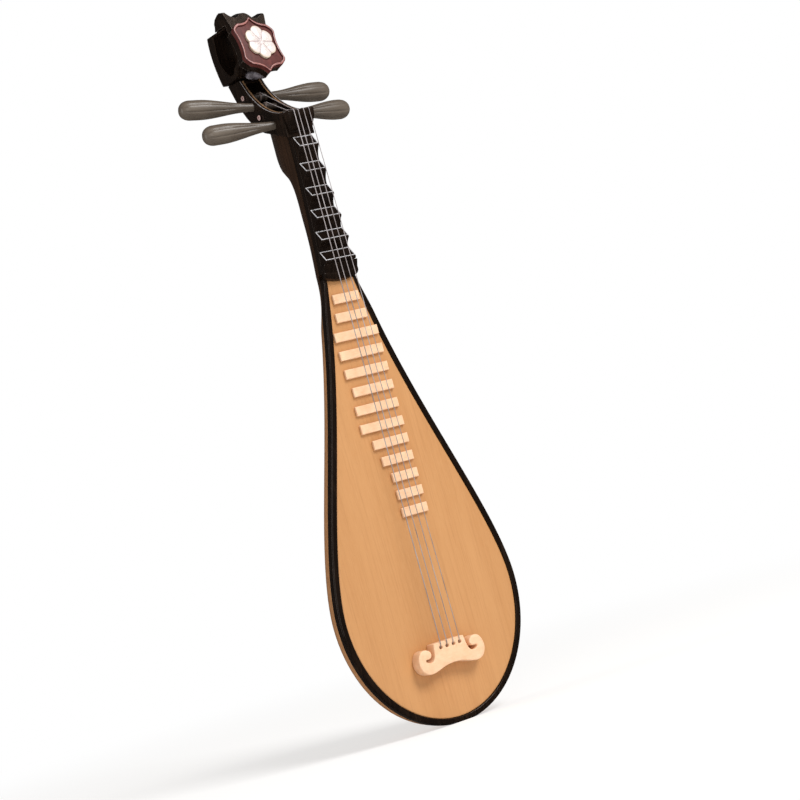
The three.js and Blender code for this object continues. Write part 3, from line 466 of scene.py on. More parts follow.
def cream_wood():
    """Pale sanded wood: soft lengthwise fibre, painted warm shade in its hollows, cleaner edges."""
    look = Look("cream_wood", 0.46, coat=0.1, coat_roughness=0.35)
    fibre = look.noise((0.25, 2.6, 2.6), detail=4)
    cloud = look.noise((0.3, 0.3, 0.3), detail=2)
    base = look.mix(look.span(cloud, 0.3, 0.7), display(236, 189, 148), display(244, 204, 167))
    grained = look.mix(look.span(fibre, 0.5, 0.8, 0, 0.4), base, display(218, 162, 114))
    # Painted warm shade in the hollows, from pointiness.
    look.colour(look.mix(look.hollows(0.485, 0.38), grained, display(166, 100, 52)))
    look.set(look.surface, "Subsurface Weight", 0.06)
    look.set(look.surface, "Subsurface Radius", (0.9 * MM, 0.7 * MM, 0.5 * MM))
    look.set(look.surface, "Subsurface Scale", 1.0)
    look.bump(fibre, 0.04, 0.5)
    return look.material


def peg_wood():
    """Satin grey-brown pegs with thin dark grain along their length, painted shade in their flutes and painted
    shade towards the box.
    """
    look = Look("peg_grey_brown", 0.42, coat=0.15, coat_roughness=0.28)
    grain = look.noise((0.9, 0.9, 0.03), detail=4, roughness=0.6, distortion=0.2)
    cloud = look.noise((0.16, 0.16, 0.05), detail=2)
    pores = look.noise((4.5, 4.5, 0.5), detail=3)
    base = look.mix(look.span(cloud, 0.3, 0.7), display(88, 77, 66), display(110, 99, 87))
    lined = look.mix(look.span(grain, 0.52, 0.76, 0, 0.4), base, display(62, 51, 41))
    fine = look.mix(look.span(pores, 0.55, 0.8, 0, 0.16), lined, display(124, 113, 99))
    # Painted shade in the flutes.
    grooved = look.mix(look.math("MULTIPLY", look.hollows(0.485, 0.4), 0.85), fine, display(40, 32, 25))
    along = look.add("ShaderNodeSeparateXYZ", {"Vector": look.place}, output="Z")
    # Painted shade: the grip darker towards the box end.
    shaded_towards_box = look.mix(look.span(along, 2 * MM, 25 * MM, 0.45, 0.0), grooved, display(56, 45, 36))
    # Painted shade: the shaft darker still where it goes into the box wall.
    look.colour(look.mix(look.span(along, -2.2 * MM, -3.4 * MM), shaded_towards_box, display(44, 35, 28)))
    look.roughness(look.span(pores, 0.2, 0.8, 0.36, 0.5))
    look.bump(look.math("ADD", grain, look.math("MULTIPLY", pores, 0.3)), 0.06, 0.7)
    return look.material


def red_wood():
    """Dark red plaque face with diagonal wood figure and fine scratches."""
    look = Look("plaque_dark_red", 0.5, coat=0.04, coat_roughness=0.25)
    look.set(look.surface, "Specular IOR Level", 0.2)
    figure = look.noise((0.7, 0.7, 0.16), detail=5, roughness=0.65, distortion=0.8)
    scratch = look.noise((0.35, 0.35, 3.6), detail=2)
    base = look.mix(look.span(figure, 0.35, 0.7), display(76, 32, 29), display(100, 48, 43))
    look.colour(look.mix(look.span(scratch, 0.6, 0.75, 0, 0.35), base, display(126, 70, 62)))
    look.bump(look.math("ADD", figure, scratch), 0.05, 0.6)
    return look.material


def red_edge():
    look = Look("plaque_bead", 0.36, coat=0.3, coat_roughness=0.2)
    cloud = look.noise((0.5, 0.5, 0.5), detail=3)
    base = look.mix(look.span(cloud, 0.3, 0.7), display(62, 24, 24), display(84, 36, 34))
    facing = look.add("ShaderNodeNewGeometry", {}, output="Normal")
    out = look.dot(facing, PLAQUE_OUT)
    # Painted highlight: the bead is paler along its crest, where it faces straight out of the plaque.
    crest_highlight = look.math("MULTIPLY", look.span(out, 0.86, 1.0), look.span(cloud, 0.35, 0.6, 0.55, 1.0))
    look.colour(look.mix(crest_highlight, base, display(150, 84, 74)))
    look.bump(look.noise((1.5, 1.5, 1.5)), 0.04, 0.4)
    return look.material


def shell_white():
    """Off-white polished inlay with lilac in its engraved lines."""
    look = Look("flower_white", 0.3, coat=0.3, coat_roughness=0.15)
    cloud = look.noise((0.3, 0.3, 0.3), detail=3)
    base = look.mix(look.span(cloud, 0.3, 0.7), display(224, 215, 208), display(212, 199, 196))
    engraved = look.add("ShaderNodeAttribute", {}, output="Fac", attribute_name="engraved")
    rim = look.add("ShaderNodeAttribute", {}, output="Fac", attribute_name="rim_shade")
    warm = look.mix(look.math("MULTIPLY", rim, 0.6), base, display(204, 180, 142))
    look.colour(look.mix(look.math("MULTIPLY", engraved, 0.7), warm, display(164, 142, 146)))
    look.set(look.surface, "Subsurface Weight", 0.15)
    look.set(look.surface, "Subsurface Radius", (0.8 * MM, 0.7 * MM, 0.6 * MM))
    look.set(look.surface, "Subsurface Scale", 1.0)
    look.bump(look.noise((2.0, 2.0, 2.0)), 0.02, 0.4)
    return look.material


def silver_line(name, bright, faint):
    """Hand-drawn pale line that is thin or missing in places."""
    look = Look(name, 0.4, metal=0.25)
    breaks = look.noise((0.9, 0.9, 0.9), detail=3, roughness=0.7)
    look.colour(look.mix(look.span(breaks, 0.5, 0.68), bright, faint))
    look.bump(breaks, 0.04)
    return look.material


def tan_line():
    look = Look("tan_line", 0.42, coat=0.2)
    breaks = look.noise((0.8, 0.8, 0.8), detail=4, roughness=0.7)
    look.colour(look.mix(look.span(breaks, 0.42, 0.66), display(146, 112, 80), display(66, 48, 36)))
    look.bump(breaks, 0.05)
    return look.material


def string_wire(name, clean, dull):
    """Grey-mauve wound wire; the ribs are in the mesh, the tarnish is here."""
    look = Look(name, 0.4, metal=0.15)
    tarnish = look.noise((0.8, 0.8, 0.12), detail=3)
    look.colour(look.mix(look.span(tarnish, 0.35, 0.7), clean, dull))
    look.bump(look.noise((3.0, 3.0, 3.0)), 0.02, 0.4)
    return look.material


def grey_gloss():
    """The carved roll: black lacquer with a painted grey sheen on its high spots, painted shade in its creases and
    painted shade making its right end darker.
    """
    look = Look("curl_rubbed_grey", 0.28, coat=0.6, coat_roughness=0.18)
    rub_and_sheen = look.noise((0.35, 0.35, 0.35), detail=2, roughness=0.5)
    fine = look.noise((1.6, 1.6, 1.6), detail=3)
    # Painted sheen: the grey and its paler flecks are a highlight painted onto black lacquer.
    base = look.mix(look.span(rub_and_sheen, 0.36, 0.62), display(92, 86, 90), display(142, 136, 142))
    worn_and_highlit = look.mix(look.span(fine, 0.55, 0.75, 0, 0.25), base, display(178, 172, 178))
    # Painted shade in the creases.
    crease_shade = look.mix(look.hollows(0.495, 0.44), worn_and_highlit, display(34, 28, 28))
    across = look.add("ShaderNodeSeparateXYZ", {"Vector": look.place}, output="X")
    # Painted shade: the right end darker.
    look.colour(look.mix(look.span(across, 1.2 * MM, 2.6 * MM, 0, 0.8), crease_shade, display(30, 24, 23)))
    look.bump(rub_and_sheen, 0.1, 0.4)
    return look.material


def black_lacquer(name, worn_and_highlit, wear_and_highlight):
    """Near-black lacquer whose edges turn paler, partly rubbed-through wear and partly a painted highlight."""
    return lacquer(name, display(19, 13, 10), display(44, 32, 24), worn_and_highlit, wear_and_highlight).material


LOOKS = {
    "tan_wood": tan_wood(),
    "bare_wood": bare_wood(),
    # Brownish pale edges on the black lacquer: partly wear, partly a painted highlight on the edges.
    "black_lacquer": black_lacquer("black_lacquer", display(96, 74, 56), 0.3),
    "brown_lacquer": belly_lacquer().material,
    "cream_wood": cream_wood(),
    "peg_wood": peg_wood(),
    "red_wood": red_wood(),
    "red_edge": red_edge(),
    "shell_white": shell_white(),
    "silver_line": silver_line("silver_line", display(206, 204, 206), display(96, 88, 84)),
    "tan_line": tan_line(),
    "string_wire": string_wire("string_grey", display(180, 172, 172), display(132, 122, 120)),
}


def look_of(node):
    return LOOKS[SLOT_OF[node]]


# ---------- body ----------
FIT_GAP = 0.15 * MM
BOARD_SHAPE_CENTRE = (0.0, 55 * MM)


def board_outline(per_span=6):
    """The soundboard's outline as a smooth closed (x, z) curve through the CAD points."""
    points = cad_points("soundboard")
    front = points[points[:, 1] < BOARD_LOW.y + 0.05 * MM]
    angle = np.arctan2(front[:, 2] - BOARD_SHAPE_CENTRE[1], front[:, 0] - BOARD_SHAPE_CENTRE[0])
    ordered = front[np.argsort(angle)][:, [0, 2]]
    return spline(ordered, per_span, closed=True)


def build_soundboard():
    loop = board_outline()
    edge = 0.2 * MM
    inwards = np.array(BOARD_SHAPE_CENTRE) - loop
    inwards /= np.linalg.norm(inwards, axis=1)[:, None]
    inner = loop + inwards * edge
    flat = loop + inwards * 3 * edge
    layers = [
        (flat, BOARD_HIGH.y), (inner, BOARD_HIGH.y), (loop, BOARD_HIGH.y - edge), (loop, BOARD_LOW.y + edge),
        (inner, BOARD_LOW.y), (flat, BOARD_LOW.y),
    ]
    rings = [[(x, y, z) for x, z in points] for points, y in layers]
    obj = loft("soundboard_fine", rings, sharp_degrees=60)
    stand_for(obj, "soundboard", look_of("soundboard"))


def arc(centre, radius, start, end, steps):
    angles = np.radians(np.linspace(start, end, steps + 1))
    return [(centre[0] + radius * math.cos(a), centre[1] + radius * math.sin(a)) for a in angles]


RIM_NARROWING = 1.25 * MM


def build_rim():
    """Black binding with a softly rounded outer edge, swept round the board's outline."""
    width = RIM_HIGH.x - BOARD_HIGH.x - FIT_GAP
    front, back = RIM_LOW.y, RIM_HIGH.y
    outer, inner = 0.9 * MM, 0.35 * MM
    profile = [
        *arc((inner + FIT_GAP, front + inner), inner, 180, 270, 4),
        *arc((FIT_GAP + width - outer, front + outer), outer, 270, 360, 7),
        *arc((FIT_GAP + width - inner, back - inner), inner, 0, 90, 4),
        (FIT_GAP, back),
    ]
    obj = closed_sweep("rim_binding_fine", board_outline(), profile)
    right = board_outline()
    right = right[right[:, 0] >= 0]
    right = right[np.argsort(right[:, 1])]
    for vertex in obj.data.vertices:
        x, z = abs(vertex.co.x), vertex.co.z
        outward = min(max((x - np.interp(z, right[:, 1], right[:, 0])) / width, 0.0), 1.0)
        pull = RIM_NARROWING * outward * smoothstep(168 * MM, RIM_HIGH.z, z)
        vertex.co.x = math.copysign(x - pull, vertex.co.x)
        vertex.co.z = min(max(z, RIM_LOW.z), RIM_HIGH.z)
    obj.data.update()
    stand_for(obj, "rim_binding", look_of("rim_binding"))


BELLY_POWER = 2.5
NECK_POWER = 3.0
WALL = 3.6 * MM
TAIL_ROUND = 27 * MM
NECK_START = NECK_LOW.z - 0.2 * MM
NECK_SWELL = 0.8 * MM
JOINT_Z = NECK_HIGH.z + FIT_GAP
JOINT_SLOPE = 0.38
LIP_Y = BOARD_HIGH.y
NECK_FRONT_Y = NECK_HIGH.y
# How far back the body and neck reach at each height, in millimetres behind the board.
BACK_CURVE = spline([
    (20, 15.2), (55, 15.2), (95, 13.6), (140, 9.6), (178, 5.9), (200, 4.8), (213, 5.9), (223.5, 6.8),
    (229.4, 8.9), (234.4, 13.3), (239, 14.7), (246, 14.8), (256, 14.6),
], 12) * MM


def back_at(z):
    reach = LIP_Y + np.interp(z, BACK_CURVE[:, 0], BACK_CURVE[:, 1])
    climb = min(max((z + 0.5 * MM) / TAIL_ROUND, 0.0), 1.0)
    rounding = (1 - (1 - climb) ** BELLY_POWER) ** (1 / BELLY_POWER)
    return lerp(LIP_Y, reach, rounding)


def neck_half(z):
    t = min(max((z - NECK_START) / (JOINT_Z - NECK_START), 0.0), 1.0)
    wide, narrow = NECK_HIGH.x, 4.9 * MM
    return lerp(wide, narrow, 1 - (1 - t) ** 1.6)


def section(z, half, front, back, power, steps, slope=0.0, slope_y=0.0, swell=0.0):
    """Half of a rounded D across the back, from its right edge round to its left edge."""
    points = []
    for angle in np.linspace(0, math.pi, steps + 1):
        c, s = math.cos(angle), math.sin(angle)
        share = abs(s) ** (2 / power)
        bulged = half + swell * math.sin(math.pi * min(share * 1.3, 1.0))
        x = bulged * math.copysign(abs(c) ** (2 / power), c)
        y = front + (back - front) * share
        points.append((x, y, z + slope * (y - slope_y)))
    return points


def build_back():
    """Carved back and neck: one U-shaped skin whose hollow fades out below the neck."""
    steps = 56
    outline = board_outline()
    right = outline[outline[:, 0] >= 0]
    right = right[np.argsort(right[:, 1])]
    rim_reach = RIM_HIGH.x - BOARD_HIGH.x - 0.2 * MM

    tail_end = 50 * MM
    quarter = [math.pi / 2 * t for t in np.linspace(0, 1, 26)]
    tail_z = np.array([RIM_LOW.z + tail_end * (1 - math.cos(angle)) for angle in quarter])
    belly_z = np.linspace(tail_end, NECK_START - 0.1 * MM, 70)[1:]
    normals = np.gradient(right, axis=0)
    normals = np.stack([normals[:, 1], -normals[:, 0]], axis=1)
    normals /= np.linalg.norm(normals, axis=1)[:, None]
    outer_line = right + normals * rim_reach
    outer_line = outer_line[outer_line[:, 1] < BOARD_HIGH.z - 1 * MM]
    outer_line = outer_line[np.argsort(outer_line[:, 1])]

    rings = []
    for z in [*tail_z, *belly_z]:
        near_neck = smoothstep(164 * MM, NECK_START, z)
        half = lerp(np.interp(z, outer_line[:, 1], outer_line[:, 0]), neck_half(z) - 0.4 * MM, near_neck)
        back = max(back_at(z), LIP_Y + 1 * MM)
        outer = section(z, half, LIP_Y, back, BELLY_POWER, steps)
        open_share = smoothstep(4.5 * MM, 9 * MM, z) * (1 - smoothstep(160 * MM, 169 * MM, z))
        depth = max(back - WALL - LIP_Y, 0.3 * MM) * open_share
        inner = section(z, max(half - WALL, 1 * MM), LIP_Y, LIP_Y + depth, BELLY_POWER, steps)
        rings.append([*outer, *reversed(inner)])
    for t in np.linspace(0, 1, 46):
        base = lerp(NECK_START + 0.1 * MM, JOINT_Z + 0.12 * MM, t)
        slope = JOINT_SLOPE * smoothstep(214 * MM, JOINT_Z, base)
        back = back_at(base)
        for _ in range(4):
            back = back_at(base + slope * (back - NECK_LOW.y))
        swell = NECK_SWELL * smoothstep(216 * MM, 236 * MM, base)
        half = neck_half(base) + 0.1 * MM
        power = lerp(BELLY_POWER, NECK_POWER, t)
        outer = section(base, half, NECK_FRONT_Y, back, power, steps, slope, NECK_LOW.y, swell)
        inner = section(base, half * 0.6, NECK_FRONT_Y, NECK_FRONT_Y, power, steps, slope, NECK_LOW.y)
        rings.append([*outer, *reversed(inner)])
    obj = loft("back_and_neck_fine", rings, sharp_degrees=38)
    stand_for(obj, "back_and_neck", look_of("back_and_neck"))


# ---------- pegs, coils and strings ----------
FLUTES = 8
FLUTE_DEPTH = 0.26 * MM
FLUTE_SHARPNESS = 9.0


def peg_frame(joint):
    """Matrix that lays local +Z along the peg's axis with its root at the local origin."""
    axis = Vector(joint["axis"]).normalized()
    turn = axis.to_track_quat("Z", "Y").to_matrix().to_4x4()
    return Matrix.Translation(Vector(joint["pos_m"])) @ turn


def along_and_radius(node, place):
    local = [place.inverted() @ Vector(p) for p in cad_points(node)]
    along = [p.z for p in local]
    radius = [math.hypot(p.x, p.y) for p in local]
    return min(along), max(along), max(radius)


def build_peg(joint):
    """A turned peg: plain shaft, slim waist, swelling fluted grip and a blunt round end."""
    node = joint["name"].replace("turn_", "")
    place = peg_frame(joint)
    start, end, radius = along_and_radius(node, place)
    shaft, root = 1.45 * MM, 1.75 * MM
    waist = root * 1.1
    profile = spline([
        (3.5 * MM, waist), (7 * MM, root * 1.28), (10.5 * MM, radius * 0.63), (14 * MM, radius * 0.76),
        (17.5 * MM, radius * 0.87), (21 * MM, radius * 0.94), (end - 4.6 * MM, radius * 0.945),
    ], 6)
    dome_z, dome_r = profile[-1]
    dome = [
        (dome_z + (end - dome_z) * math.sin(a), dome_r * math.cos(a) ** 0.8)
        for a in np.linspace(0.08, math.pi / 2 - 0.02, 16)
    ]
    stations = [
        (start, shaft - 0.2 * MM), (start + 0.2 * MM, shaft), (-3.7 * MM, shaft), (-3.2 * MM, root),
        (0.4 * MM, root), *profile, *dome,
    ]
    sides = 96
    turn = 2 * np.pi * np.arange(sides) / sides
    groove = (0.5 - 0.5 * np.cos(FLUTES * turn)) ** FLUTE_SHARPNESS
    rings = []
    for z, r in stations:
        share = smoothstep(2.5 * MM, 11 * MM, z) * (1 - smoothstep(end - 4.2 * MM, end - 1.0 * MM, z))
        reach = r - FLUTE_DEPTH * share * groove
        rings.append(np.stack([reach * np.cos(turn), reach * np.sin(turn), np.full(sides, z)], axis=1))
    obj = loft(node + "_fine", rings, sharp_degrees=50)
    obj.matrix_world = place
    stand_for(obj, node, look_of(node))


COIL_LOOK = string_wire("coil_dark_grey", display(112, 98, 92), display(74, 62, 58))


def build_winding(joint):
    """Turns of string wound side by side round the peg's shaft."""
    node = joint["name"].replace("turn_peg", "winding")
    place = peg_frame(joint)
    start, end, radius = along_and_radius(node, place)
    shaft = 1.45 * MM + 0.04 * MM
    wire = (radius - shaft) / 1.8
    turns = 3
    steps = 28 * turns
    first, last = start + wire, end - wire
    points = []
    for k in range(steps + 1):
        angle = 2 * math.pi * turns * k / steps
        reach = shaft + wire * 0.9
        points.append((reach * math.cos(angle), reach * math.sin(angle), lerp(first, last, k / steps)))
    obj = tube(node + "_fine", points, lambda _: wire * 0.88, 10)
    obj.matrix_world = place
    stand_for(obj, node, COIL_LOOK)


def ring_centres(node, radius):
    """Middles of the rings of points that a CAD string is made of, bridge end first."""
    left = [Vector(p) for p in cad_points(node)]
    centres = []
    while left:
        seed = left[0]
        ring = [p for p in left if (p - seed).length < 2.1 * radius]
        left = [p for p in left if (p - seed).length >= 2.1 * radius]
        middle = sum(ring, Vector()) / len(ring)
        spread = max((p - middle).length for p in ring)
        centres.append((middle, spread))
    middles = [middle for middle, _ in centres]
    ordered = [max(middles, key=lambda p: (p.y - BOARD_LOW.y) - 1e3 * (p.z > 40 * MM))]
    middles.remove(ordered[0])
    while middles:
        nearest = min(middles, key=lambda p: (p - ordered[-1]).length)
        middles.remove(nearest)
        ordered.append(nearest)
    return ordered


STRING_SLIMMING = 0.74
STRING_RADIUS = {"string_1": 0.27 * MM, "string_2": 0.25 * MM, "string_3": 0.23 * MM, "string_4": 0.21 * MM}
RIB_PITCH = 0.62 * MM


def build_string(node):
    """A wound string: fine ribs all along, bent softly over the bridge and the nut."""
    radius = STRING_RADIUS[node]
    path = cut_corners(ring_centres(node, radius), 2, closed=False)
    lengths = np.r_[0, np.cumsum(np.linalg.norm(np.diff(path, axis=0), axis=1))]
    stops = np.arange(0, lengths[-1], RIB_PITCH / 4)
    points = np.stack([np.interp(stops, lengths, path[:, k]) for k in range(3)], axis=1)
    slim = radius * STRING_SLIMMING

    def ribs(along):
        return slim * (0.97 + 0.05 * math.cos(2 * math.pi * along / RIB_PITCH))

    ribbed = tube(node + "_fine", points, ribs, 8)
    stand_for(ribbed, node, look_of(node))


def build_string_end(node, look):
    """The curled spare end of a string, as a smoothed copy of its CAD curl."""
    obj = keep_with_bevel(node, look, 0.0)
    obj.modifiers.remove(obj.modifiers["eased_edges"])
    rounder = obj.modifiers.new("rounder", "SUBSURF")
    rounder.levels = rounder.render_levels = 2
    thicker = obj.modifiers.new("thicker", "DISPLACE")
    thicker.strength = 0.14 * MM
    thicker.mid_level = 0.0
    return obj


# ---------- flat carved pieces ----------
def flat_loops(node, toward, tolerance=0.02 * MM):
    """Closed outlines of the CAD face that lies furthest in this direction, longest first."""
    bm = bmesh.new()
    bm.from_mesh(frame["nodes"][node].data)
    bmesh.ops.remove_doubles(bm, verts=bm.verts, dist=0.002 * MM)
    bm.normal_update()
    reach = max(v.co.dot(toward) for v in bm.verts)
    chosen = {
        f for f in bm.faces
        if f.normal.dot(toward) > 0.999 and all(abs(v.co.dot(toward) - reach) < tolerance for v in f.verts)
    }
    border = [e for e in bm.edges if sum(f in chosen for f in e.link_faces) == 1]
    loops = []
    while border:
        edge = border.pop()
        loop = [edge.verts[0], edge.verts[1]]
        while True:
            following = next((e for e in border if loop[-1] in e.verts), None)
            if following is None:
                break
            border.remove(following)
            loop.append(following.other_vert(loop[-1]))
        loops.append([v.co.copy() for v in loop[:-1]])
    bm.free()
    perimeter = lambda loop: sum((a - b).length for a, b in zip(loop, loop[1:] + loop[:1]))
    return sorted(loops, key=perimeter, reverse=True)


def slab(name, loops, thickness, edge, resolution=4):
    """A plate with rounded edges from flat (a, b) loops; holes are loops inside the first."""
    curve = bpy.data.curves.new(name, "CURVE")
    curve.dimensions = "2D"
    curve.fill_mode = "BOTH"
    curve.extrude = thickness / 2 - edge
    curve.bevel_depth = edge
    curve.bevel_resolution = resolution
    curve.offset = -edge
    for loop in loops:
        run = curve.splines.new("POLY")
        run.points.add(len(loop) - 1)
        for point, (a, b) in zip(run.points, loop):
            point.co = (a, b, 0, 1)
        run.use_cyclic_u = True
    holder = bpy.data.objects.new(name + "_curve", curve)
    bpy.context.scene.collection.objects.link(holder)
    made = bpy.data.meshes.new_from_object(holder.evaluated_get(bpy.context.evaluated_depsgraph_get()))
    bpy.data.objects.remove(holder)
    obj = bpy.data.objects.new(name, made)
    bpy.context.scene.collection.objects.link(obj)
    return tidy_mesh(obj, weld=0.01 * MM)


def facing_front(y):
    """Matrix from a plate's own (a, b, thickness) to the row: a to +X, b to +Z, front to -Y."""
    turn = Matrix(((1, 0, 0), (0, 0, -1), (0, 1, 0))).to_4x4()
    return Matrix.Translation((0, y, 0)) @ turn


def bake(obj, matrix):
    obj.data.transform(matrix)
    obj.data.update()
    return obj


def build_bridge():
    low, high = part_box("bridge")
    loops = flat_loops("bridge", Vector((0, 1, 0)))
    outline = cut_corners([(p.x, p.z) for p in loops[0]], 2)
    holes = [cut_corners([(p.x, p.z) for p in loop], 1) for loop in loops[1:]]
    thickness = high.y - low.y
    obj = slab("bridge_fine", [outline, *holes], thickness, 0.45 * MM)
    bake(obj, facing_front((high.y + low.y) / 2))
    stand_for(obj, "bridge", look_of("bridge"))


def plaque_frame():
    """Matrix whose local +Z looks out of the plaque and whose origin is on its face."""
    loop = flat_loops("plaque", PLAQUE_OUT)[0]
    middle = sum(loop, Vector()) / len(loop)
    middle.x = 0.0
    across = Vector((0, 0, 1)).cross(PLAQUE_OUT).normalized()
    up = PLAQUE_OUT.cross(across)
    turn = Matrix((across, up, PLAQUE_OUT)).transposed().to_4x4()
    return Matrix.Translation(middle) @ turn


PLAQUE_PLACE = plaque_frame()


def in_plaque(points):
    back = PLAQUE_PLACE.inverted()
    return [(back @ Vector(p)) for p in points]


def plate_on_plaque(node, edge, passes, resolution=4):
    """Fine version of a flat piece on the plaque, from the outlines of its CAD face."""
    loops = [in_plaque(loop) for loop in flat_loops(node, PLAQUE_OUT)]
    heights = [p.z for p in in_plaque(cad_points(node))]
    flat = [cut_corners([(p.x, p.y) for p in loop], passes) for loop in loops]
    thickness = max(heights) - min(heights)
    obj = slab(node + "_fine", flat, thickness, edge, resolution)
    bake(obj, PLAQUE_PLACE @ Matrix.Translation((0, 0, (max(heights) + min(heights)) / 2)))
    stand_for(obj, node, look_of(node))
    return obj


FLOWER_GROWTH = np.array((1.04, 1.08))
FLOWER_NUDGE = -0.35 * MM


def build_flower():
    """Six domed petals with engraved lines between and along them."""
    node = "flower_inlay"
    points = np.array([tuple(p) for p in in_plaque(cad_points(node))])
    low, high = points[:, 2].min(), points[:, 2].max()
    centre = (points.max(axis=0) + points.min(axis=0)) / 2
    half_x, half_z = (points.max(axis=0) - points.min(axis=0))[:2] / 2 * FLOWER_GROWTH
    petals = 6
    ring, petal = 0.565, 0.435
    turns, rows = 360, 34
    skirt = 5
    angles = 2 * np.pi * np.arange(turns) / turns
    wave = np.mod(angles - math.pi / 2 + math.pi / petals, 2 * math.pi / petals) - math.pi / petals
    edge = ring * np.cos(wave) + np.sqrt(np.maximum(petal ** 2 - (ring * np.sin(wave)) ** 2, 0.0))
    valley = np.abs(np.abs(wave) - math.pi / petals)
    vertices, engraved, rim = [], [], []
    for row in range(rows + 1):
        t = row / rows
        dome = math.sqrt(max(1 - (0.93 * t) ** 6, 0.0))
        for k in range(turns):
            r = edge[k] * t
            gap = valley[k] * r * half_x / MM
            vein = abs(wave[k]) * r * half_x / MM
            inner = abs(t - 0.5 - 0.06 * math.cos(petals * (angles[k] - math.pi / 2))) * edge[k] * half_x / MM
            groove = math.exp(-(gap / 0.2) ** 2) * smoothstep(0.03, 0.3, t)
            groove = max(groove, 0.55 * math.exp(-(vein / 0.14) ** 2) * (1 - smoothstep(0.4, 0.62, t)))
            groove = max(groove, 0.4 * math.exp(-(inner / 0.15) ** 2))
            swell = 0.22 * MM * math.sin(math.pi * min(t, 1.0)) * math.cos(petals * wave[k] / 2) ** 2
            domed = lerp(low, high, 0.55 + 0.45 * dome)
            height = domed - 0.2 * MM * groove * (1 - 0.5 * t) + swell - 0.22 * MM
            vertices.append((r * math.cos(angles[k]) * half_x, r * math.sin(angles[k]) * half_z, height))
            engraved.append(groove)
            rim.append(smoothstep(0.9, 1.0, t))
    for row in range(1, skirt + 1):
        for k in range(turns):
            base = vertices[rows * turns + k]
            vertices.append((base[0], base[1], lerp(base[2], low, row / skirt)))
            engraved.append(0.0)
            rim.append(1.0)
    faces = []
    for row in range(rows + skirt):
        for k in range(turns):
            a, b = row * turns + k, row * turns + (k + 1) % turns
            faces.append((a, b, b + turns, a + turns))
    faces.append(tuple((rows + skirt) * turns + k for k in range(turns)))
    obj = make_object("flower_inlay_fine", vertices, faces)
    for name, values in (("engraved", engraved), ("rim_shade", rim)):
        attribute = obj.data.attributes.new(name, "FLOAT", "POINT")
        attribute.data.foreach_set("value", values)
    tidy_mesh(obj, weld=0.0005 * MM, sharp_degrees=55)
    sheared = np.array([tuple(p) for p in in_plaque(cad_points(node))])
    slope = np.polyfit(sheared[:, 0], sheared[:, 1], 1)[0]
    shear = Matrix(((1, 0, 0, 0), (slope, 1, 0, 0), (0, 0, 1, 0), (0, 0, 0, 1)))
    bake(obj, PLAQUE_PLACE @ Matrix.Translation((centre[0] + FLOWER_NUDGE, centre[1], 0)) @ shear)
    stand_for(obj, node, look_of(node))


def build_curl():
    """Small carved cloud scroll: overlapping lobes fused into one skin."""
    low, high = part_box("head_curl")
    centre = (low + high) / 2
    bm = bmesh.new()
    lobes = [
        (-0.62, -0.45, 0.4, 0.4),
        (-0.15, -0.6, 0.3, 0.44),
        (0.3, -0.55, 0.05, 0.44),
        (0.66, -0.45, -0.2, 0.36),
        (-0.45, 0.1, 0.45, 0.45),
        (0.1, 0.2, 0.4, 0.48),
        (0.55, 0.1, 0.25, 0.42),
        (0.0, 0.6, 0.5, 0.45),
    ]
    half = (high - low) / 2
    for along, depth, lift, size in lobes:
        radius = size * half.z * 1.6
        place = centre + Vector((along * half.x, depth * half.y * 0.8, lift * half.z * 0.6))
        stretch = Matrix.Diagonal((1.15, 1.0, 0.82, 1.0))
        lobe_place = Matrix.Translation(place) @ stretch
        bmesh.ops.create_icosphere(bm, subdivisions=3, radius=radius, matrix=lobe_place)
    mesh = bpy.data.meshes.new("head_curl_fine")
    bm.to_mesh(mesh)
    bm.free()
    obj = bpy.data.objects.new("head_curl_fine", mesh)
    bpy.context.scene.collection.objects.link(obj)
    remesh = obj.modifiers.new("fuse", "REMESH")
    remesh.mode = "VOXEL"
    remesh.voxel_size = 0.13 * MM
    remesh.use_smooth_shade = True
    smooth = obj.modifiers.new("soften", "SMOOTH")
    smooth.factor = 0.5
    smooth.iterations = 6
    stand_for(obj, "head_curl", grey_gloss())


# ---------- stage ----------
CAMERA_YAW = math.radians(33.0)
CAMERA_RISE = math.radians(2.318)
CAMERA_ROLL = math.radians(-15.679)
CAMERA_DISTANCE = 939.5 * MM
CAMERA_TARGET = Vector((12.216, -5.2, 130.78)) * MM
CAMERA_LENS = 104.256
SENSOR = 36.0


def add_camera():
    forward = Vector((
        math.sin(CAMERA_YAW) * math.cos(CAMERA_RISE),
        math.cos(CAMERA_YAW) * math.cos(CAMERA_RISE),
        math.sin(CAMERA_RISE),
    ))
    level = forward.cross(Vector((0, 0, 1))).normalized()
    lift = level.cross(forward)
    right = level * math.cos(CAMERA_ROLL) + lift * math.sin(CAMERA_ROLL)
    up = lift * math.cos(CAMERA_ROLL) - level * math.sin(CAMERA_ROLL)
    data = bpy.data.cameras.new("camera")
    data.sensor_width = SENSOR
    data.lens = CAMERA_LENS
    data.clip_end = 50
    camera = bpy.data.objects.new("camera", data)
    turn = Matrix((right, up, -forward)).transposed().to_4x4()
    camera.matrix_world = Matrix.Translation(CAMERA_TARGET - forward * CAMERA_DISTANCE) @ turn
    bpy.context.scene.collection.objects.link(camera)
    bpy.context.scene.camera = camera


def add_light(name, place, size, power, target=(0, 0, 0.15)):
    data = bpy.data.lights.new(name, "AREA")
    data.shape = "RECTANGLE"
    data.size, data.size_y = size
    data.energy = power
    light = bpy.data.objects.new(name, data)
    light.location = place
    light.rotation_mode = "QUATERNION"
    light.rotation_quaternion = (Vector(target) - Vector(place)).to_track_quat("-Z", "Y")
    light.visible_camera = False
    bpy.context.scene.collection.objects.link(light)
    return light


